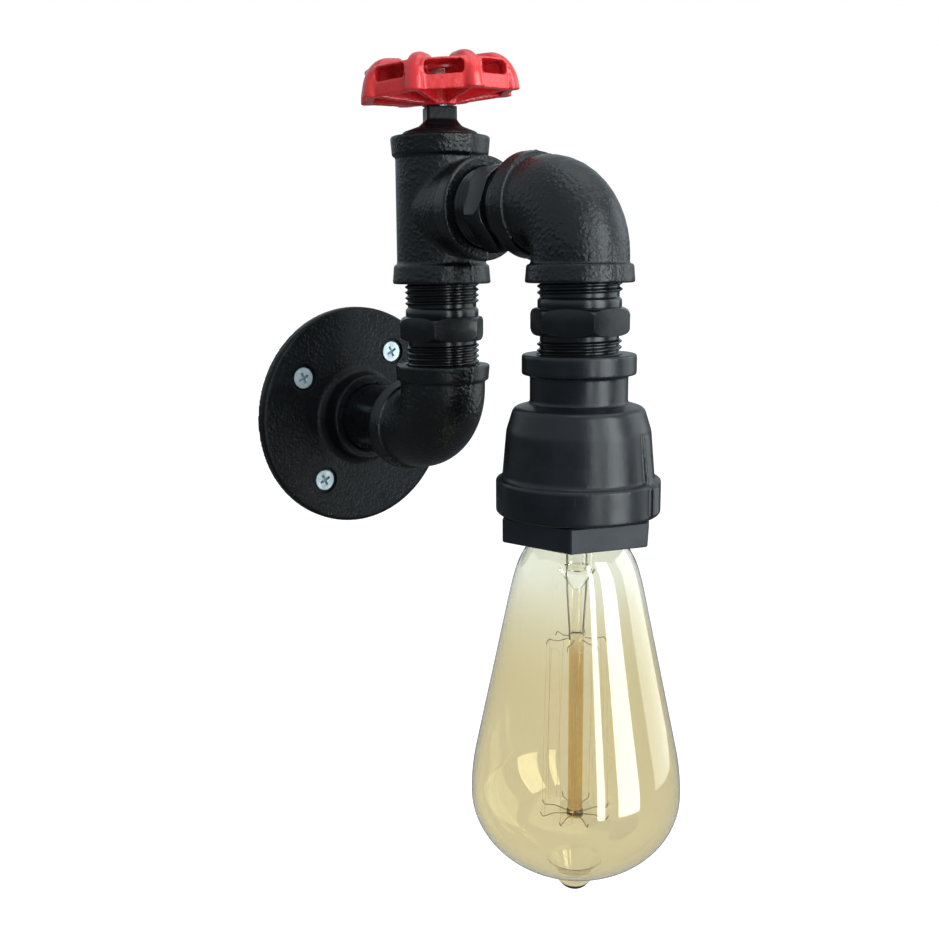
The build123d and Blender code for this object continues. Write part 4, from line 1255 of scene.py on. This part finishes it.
# --- stage
@dataclass
class Studio:
    """Floor, two tall windows, a pale wall, a ceiling light, the room's glow and the camera."""

    floor_z: float = -0.42
    yaw: float = 0.663
    pitch: float = -0.1799
    roll: float = -0.0081
    eye: tuple[float, ...] = (-0.231131, -0.367901, 0.056601)
    lens: float = 43.48
    aim: tuple[float, ...] = (0.0, -0.1, 0.17)
    daylight: Colour = (0.90, 0.98, 1.0)
    sky_tint: Colour = (0.82, 0.94, 1.0)
    sky_diffuse: float = 0.55
    sky_mirrored: tuple[float, float] = (0.08, 0.60)
    # Name, degrees right of the camera, distance, width, height in metres, radiance.
    uprights: tuple[tuple, ...] = (
        ("wide_window", 52.5, 1.0, 0.44, 1.35, 6.2),
        ("narrow_window", 22, 1.0, 0.14, 1.35, 6.2),
        ("pale_wall", 108, 1.2, 0.9, 1.3, 1.5),
    )

    @staticmethod
    def panel(name: str, middle: Vector, aim: Vector, width: float, height: float,
              radiance: float) -> bpy.types.Light:
        """Hangs a soft panel of light.

        Args:
            name: Its name.
            middle: Where its middle is.
            aim: Point that it faces.
            width: In metres.
            height: In metres.
            radiance: How bright it looks, 1 being white.

        Returns:
            Its light.
        """
        data = bpy.data.lights.new(name, "AREA")
        data.shape, data.size, data.size_y = "RECTANGLE", width, height
        data.energy = radiance * math.pi * width * height
        panel = bpy.data.objects.new(name, data)
        bpy.context.scene.collection.objects.link(panel)
        panel.location = middle
        panel.rotation_euler = (aim - middle).to_track_quat("-Z", "Y").to_euler()
        return data

    @staticmethod
    def rays(board: Board) -> tuple[Socket, Socket]:
        """Tells the kinds of ray apart.

        Args:
            board: The board of the world or of a material.

        Returns:
            Whether it is seen, straight or through glass, and whether it is a reflection.
        """
        path = board.add("ShaderNodeLightPath").outputs
        seen = board.math("MAXIMUM", path["Is Camera Ray"], path["Is Transmission Ray"])
        return seen, path["Is Glossy Ray"]

    def lights(self) -> None:
        """Adds the panels and the world."""
        aim, back = Vector(self.aim), Vector((-math.sin(self.yaw), -math.cos(self.yaw), 0))
        for name, right_deg, away, width, height, radiance in self.uprights:
            middle = aim + Matrix.Rotation(math.radians(right_deg), 3, "Z") @ back * away
            self.panel(name, middle, aim, width, height, radiance).color = self.daylight
        self.panel("ceiling", Vector((0.25, -0.35, 1.25)), Vector((0, -0.1, 0)), 1.2, 1.2, 1.1)
        world = bpy.context.scene.world or bpy.data.worlds.new("room")
        bpy.context.scene.world = world
        world.use_nodes = True
        world.node_tree.nodes.clear()
        board = Board(world.node_tree)
        seen, glossy = self.rays(board)
        way = board.add("ShaderNodeTexCoord").outputs["Generated"]
        rise = board.step(board.add("ShaderNodeSeparateXYZ", {0: way}).outputs[2], -0.06, 0.16)
        low, gain = self.sky_mirrored
        mirrored = board.math("MULTIPLY_ADD", rise, gain, low)
        unseen = board.add("ShaderNodeMix", {0: glossy, 2: self.sky_diffuse, 3: mirrored})
        strength = board.add("ShaderNodeMix", {0: seen, 2: unseen.outputs[0], 3: 1.0})
        tone = board.mix(seen, self.sky_tint, (1, 1, 1))
        room = board.add("ShaderNodeBackground", {"Color": tone, "Strength": strength.outputs[0]})
        board.add("ShaderNodeOutputWorld", {"Surface": room.outputs[0]})

    def floor(self) -> None:
        """Lays the pale floor."""
        Bench.clear()
        bpy.ops.mesh.primitive_plane_add(size=14, location=(0, 0, self.floor_z))
        floor = bpy.context.object
        floor.name = "floor"
        material = bpy.data.materials.new("pale_floor")
        material.use_nodes = True
        material.node_tree.nodes.clear()
        board = Board(material.node_tree)
        seen, glossy = self.rays(board)
        mirrored = board.math("MULTIPLY", glossy, 0.05)
        shader = board.add(
            "ShaderNodeBsdfPrincipled",
            {
                "Base Color": board.mix(glossy, (0.6, 0.6, 0.6), (0.08, 0.085, 0.09)),
                "Roughness": 0.9, "Emission Color": (1, 1, 1, 1),
                "Emission Strength": board.math("MULTIPLY_ADD", seen, 0.78, mirrored),
            },
        )
        board.add("ShaderNodeOutputMaterial", {"Surface": shader.outputs[0]})
        floor.data.materials.append(material)

    def camera(self) -> None:
        """Sets the camera where the photograph was taken."""
        ahead = Vector((
            math.sin(self.yaw) * math.cos(self.pitch), math.cos(self.yaw) * math.cos(self.pitch),
            math.sin(self.pitch),
        ))
        right = ahead.cross(Vector((0, 0, 1))).normalized()
        up = right.cross(ahead)
        side = right * math.cos(self.roll) + up * math.sin(self.roll)
        top = -right * math.sin(self.roll) + up * math.cos(self.roll)
        data = bpy.data.cameras.new("camera")
        data.lens, data.sensor_width, data.clip_start = self.lens, 36.0, 0.01
        camera = bpy.data.objects.new("camera", data)
        bpy.context.scene.collection.objects.link(camera)
        turn = Matrix((side, top, -ahead)).transposed().to_4x4()
        camera.matrix_world = Matrix.Translation(Vector(self.eye)) @ turn
        bpy.context.scene.camera = camera

    def build(self) -> None:
        """Sets the stage."""
        self.floor()
        self.lights()
        self.camera()
        bpy.context.scene.view_settings.view_transform = "Standard"


def clear_start_scene() -> None:
    """Removes what a new file holds besides the frame."""
    for name in ("Cube", "Light", "Camera"):
        if name in bpy.data.objects:
            bpy.data.objects.remove(bpy.data.objects[name])


def main() -> None:
    """Builds every sub-assembly in order."""
    clear_start_scene()
    Castings().build()
    nipples = (
        HexNipple("riser_nipple", (0, LAYOUT.riser_y, 31.0), (0, 0, 1), 43.5),
        HexNipple("branch_nipple", (0, -87.4, LAYOUT.tee_z), (0, -1, 0), 10.0),
        HexNipple("drop_nipple", (0, LAYOUT.drop_y, 35.7), (0, 0, 1), 2.5),
    )
    for nipple in nipples:
        nipple.build()
    ReducingSocket().build()
    Handwheel().build()
    Lamp().build()
    Fittings().build()
    Studio().build()


if __name__ == "__main__":
    main()
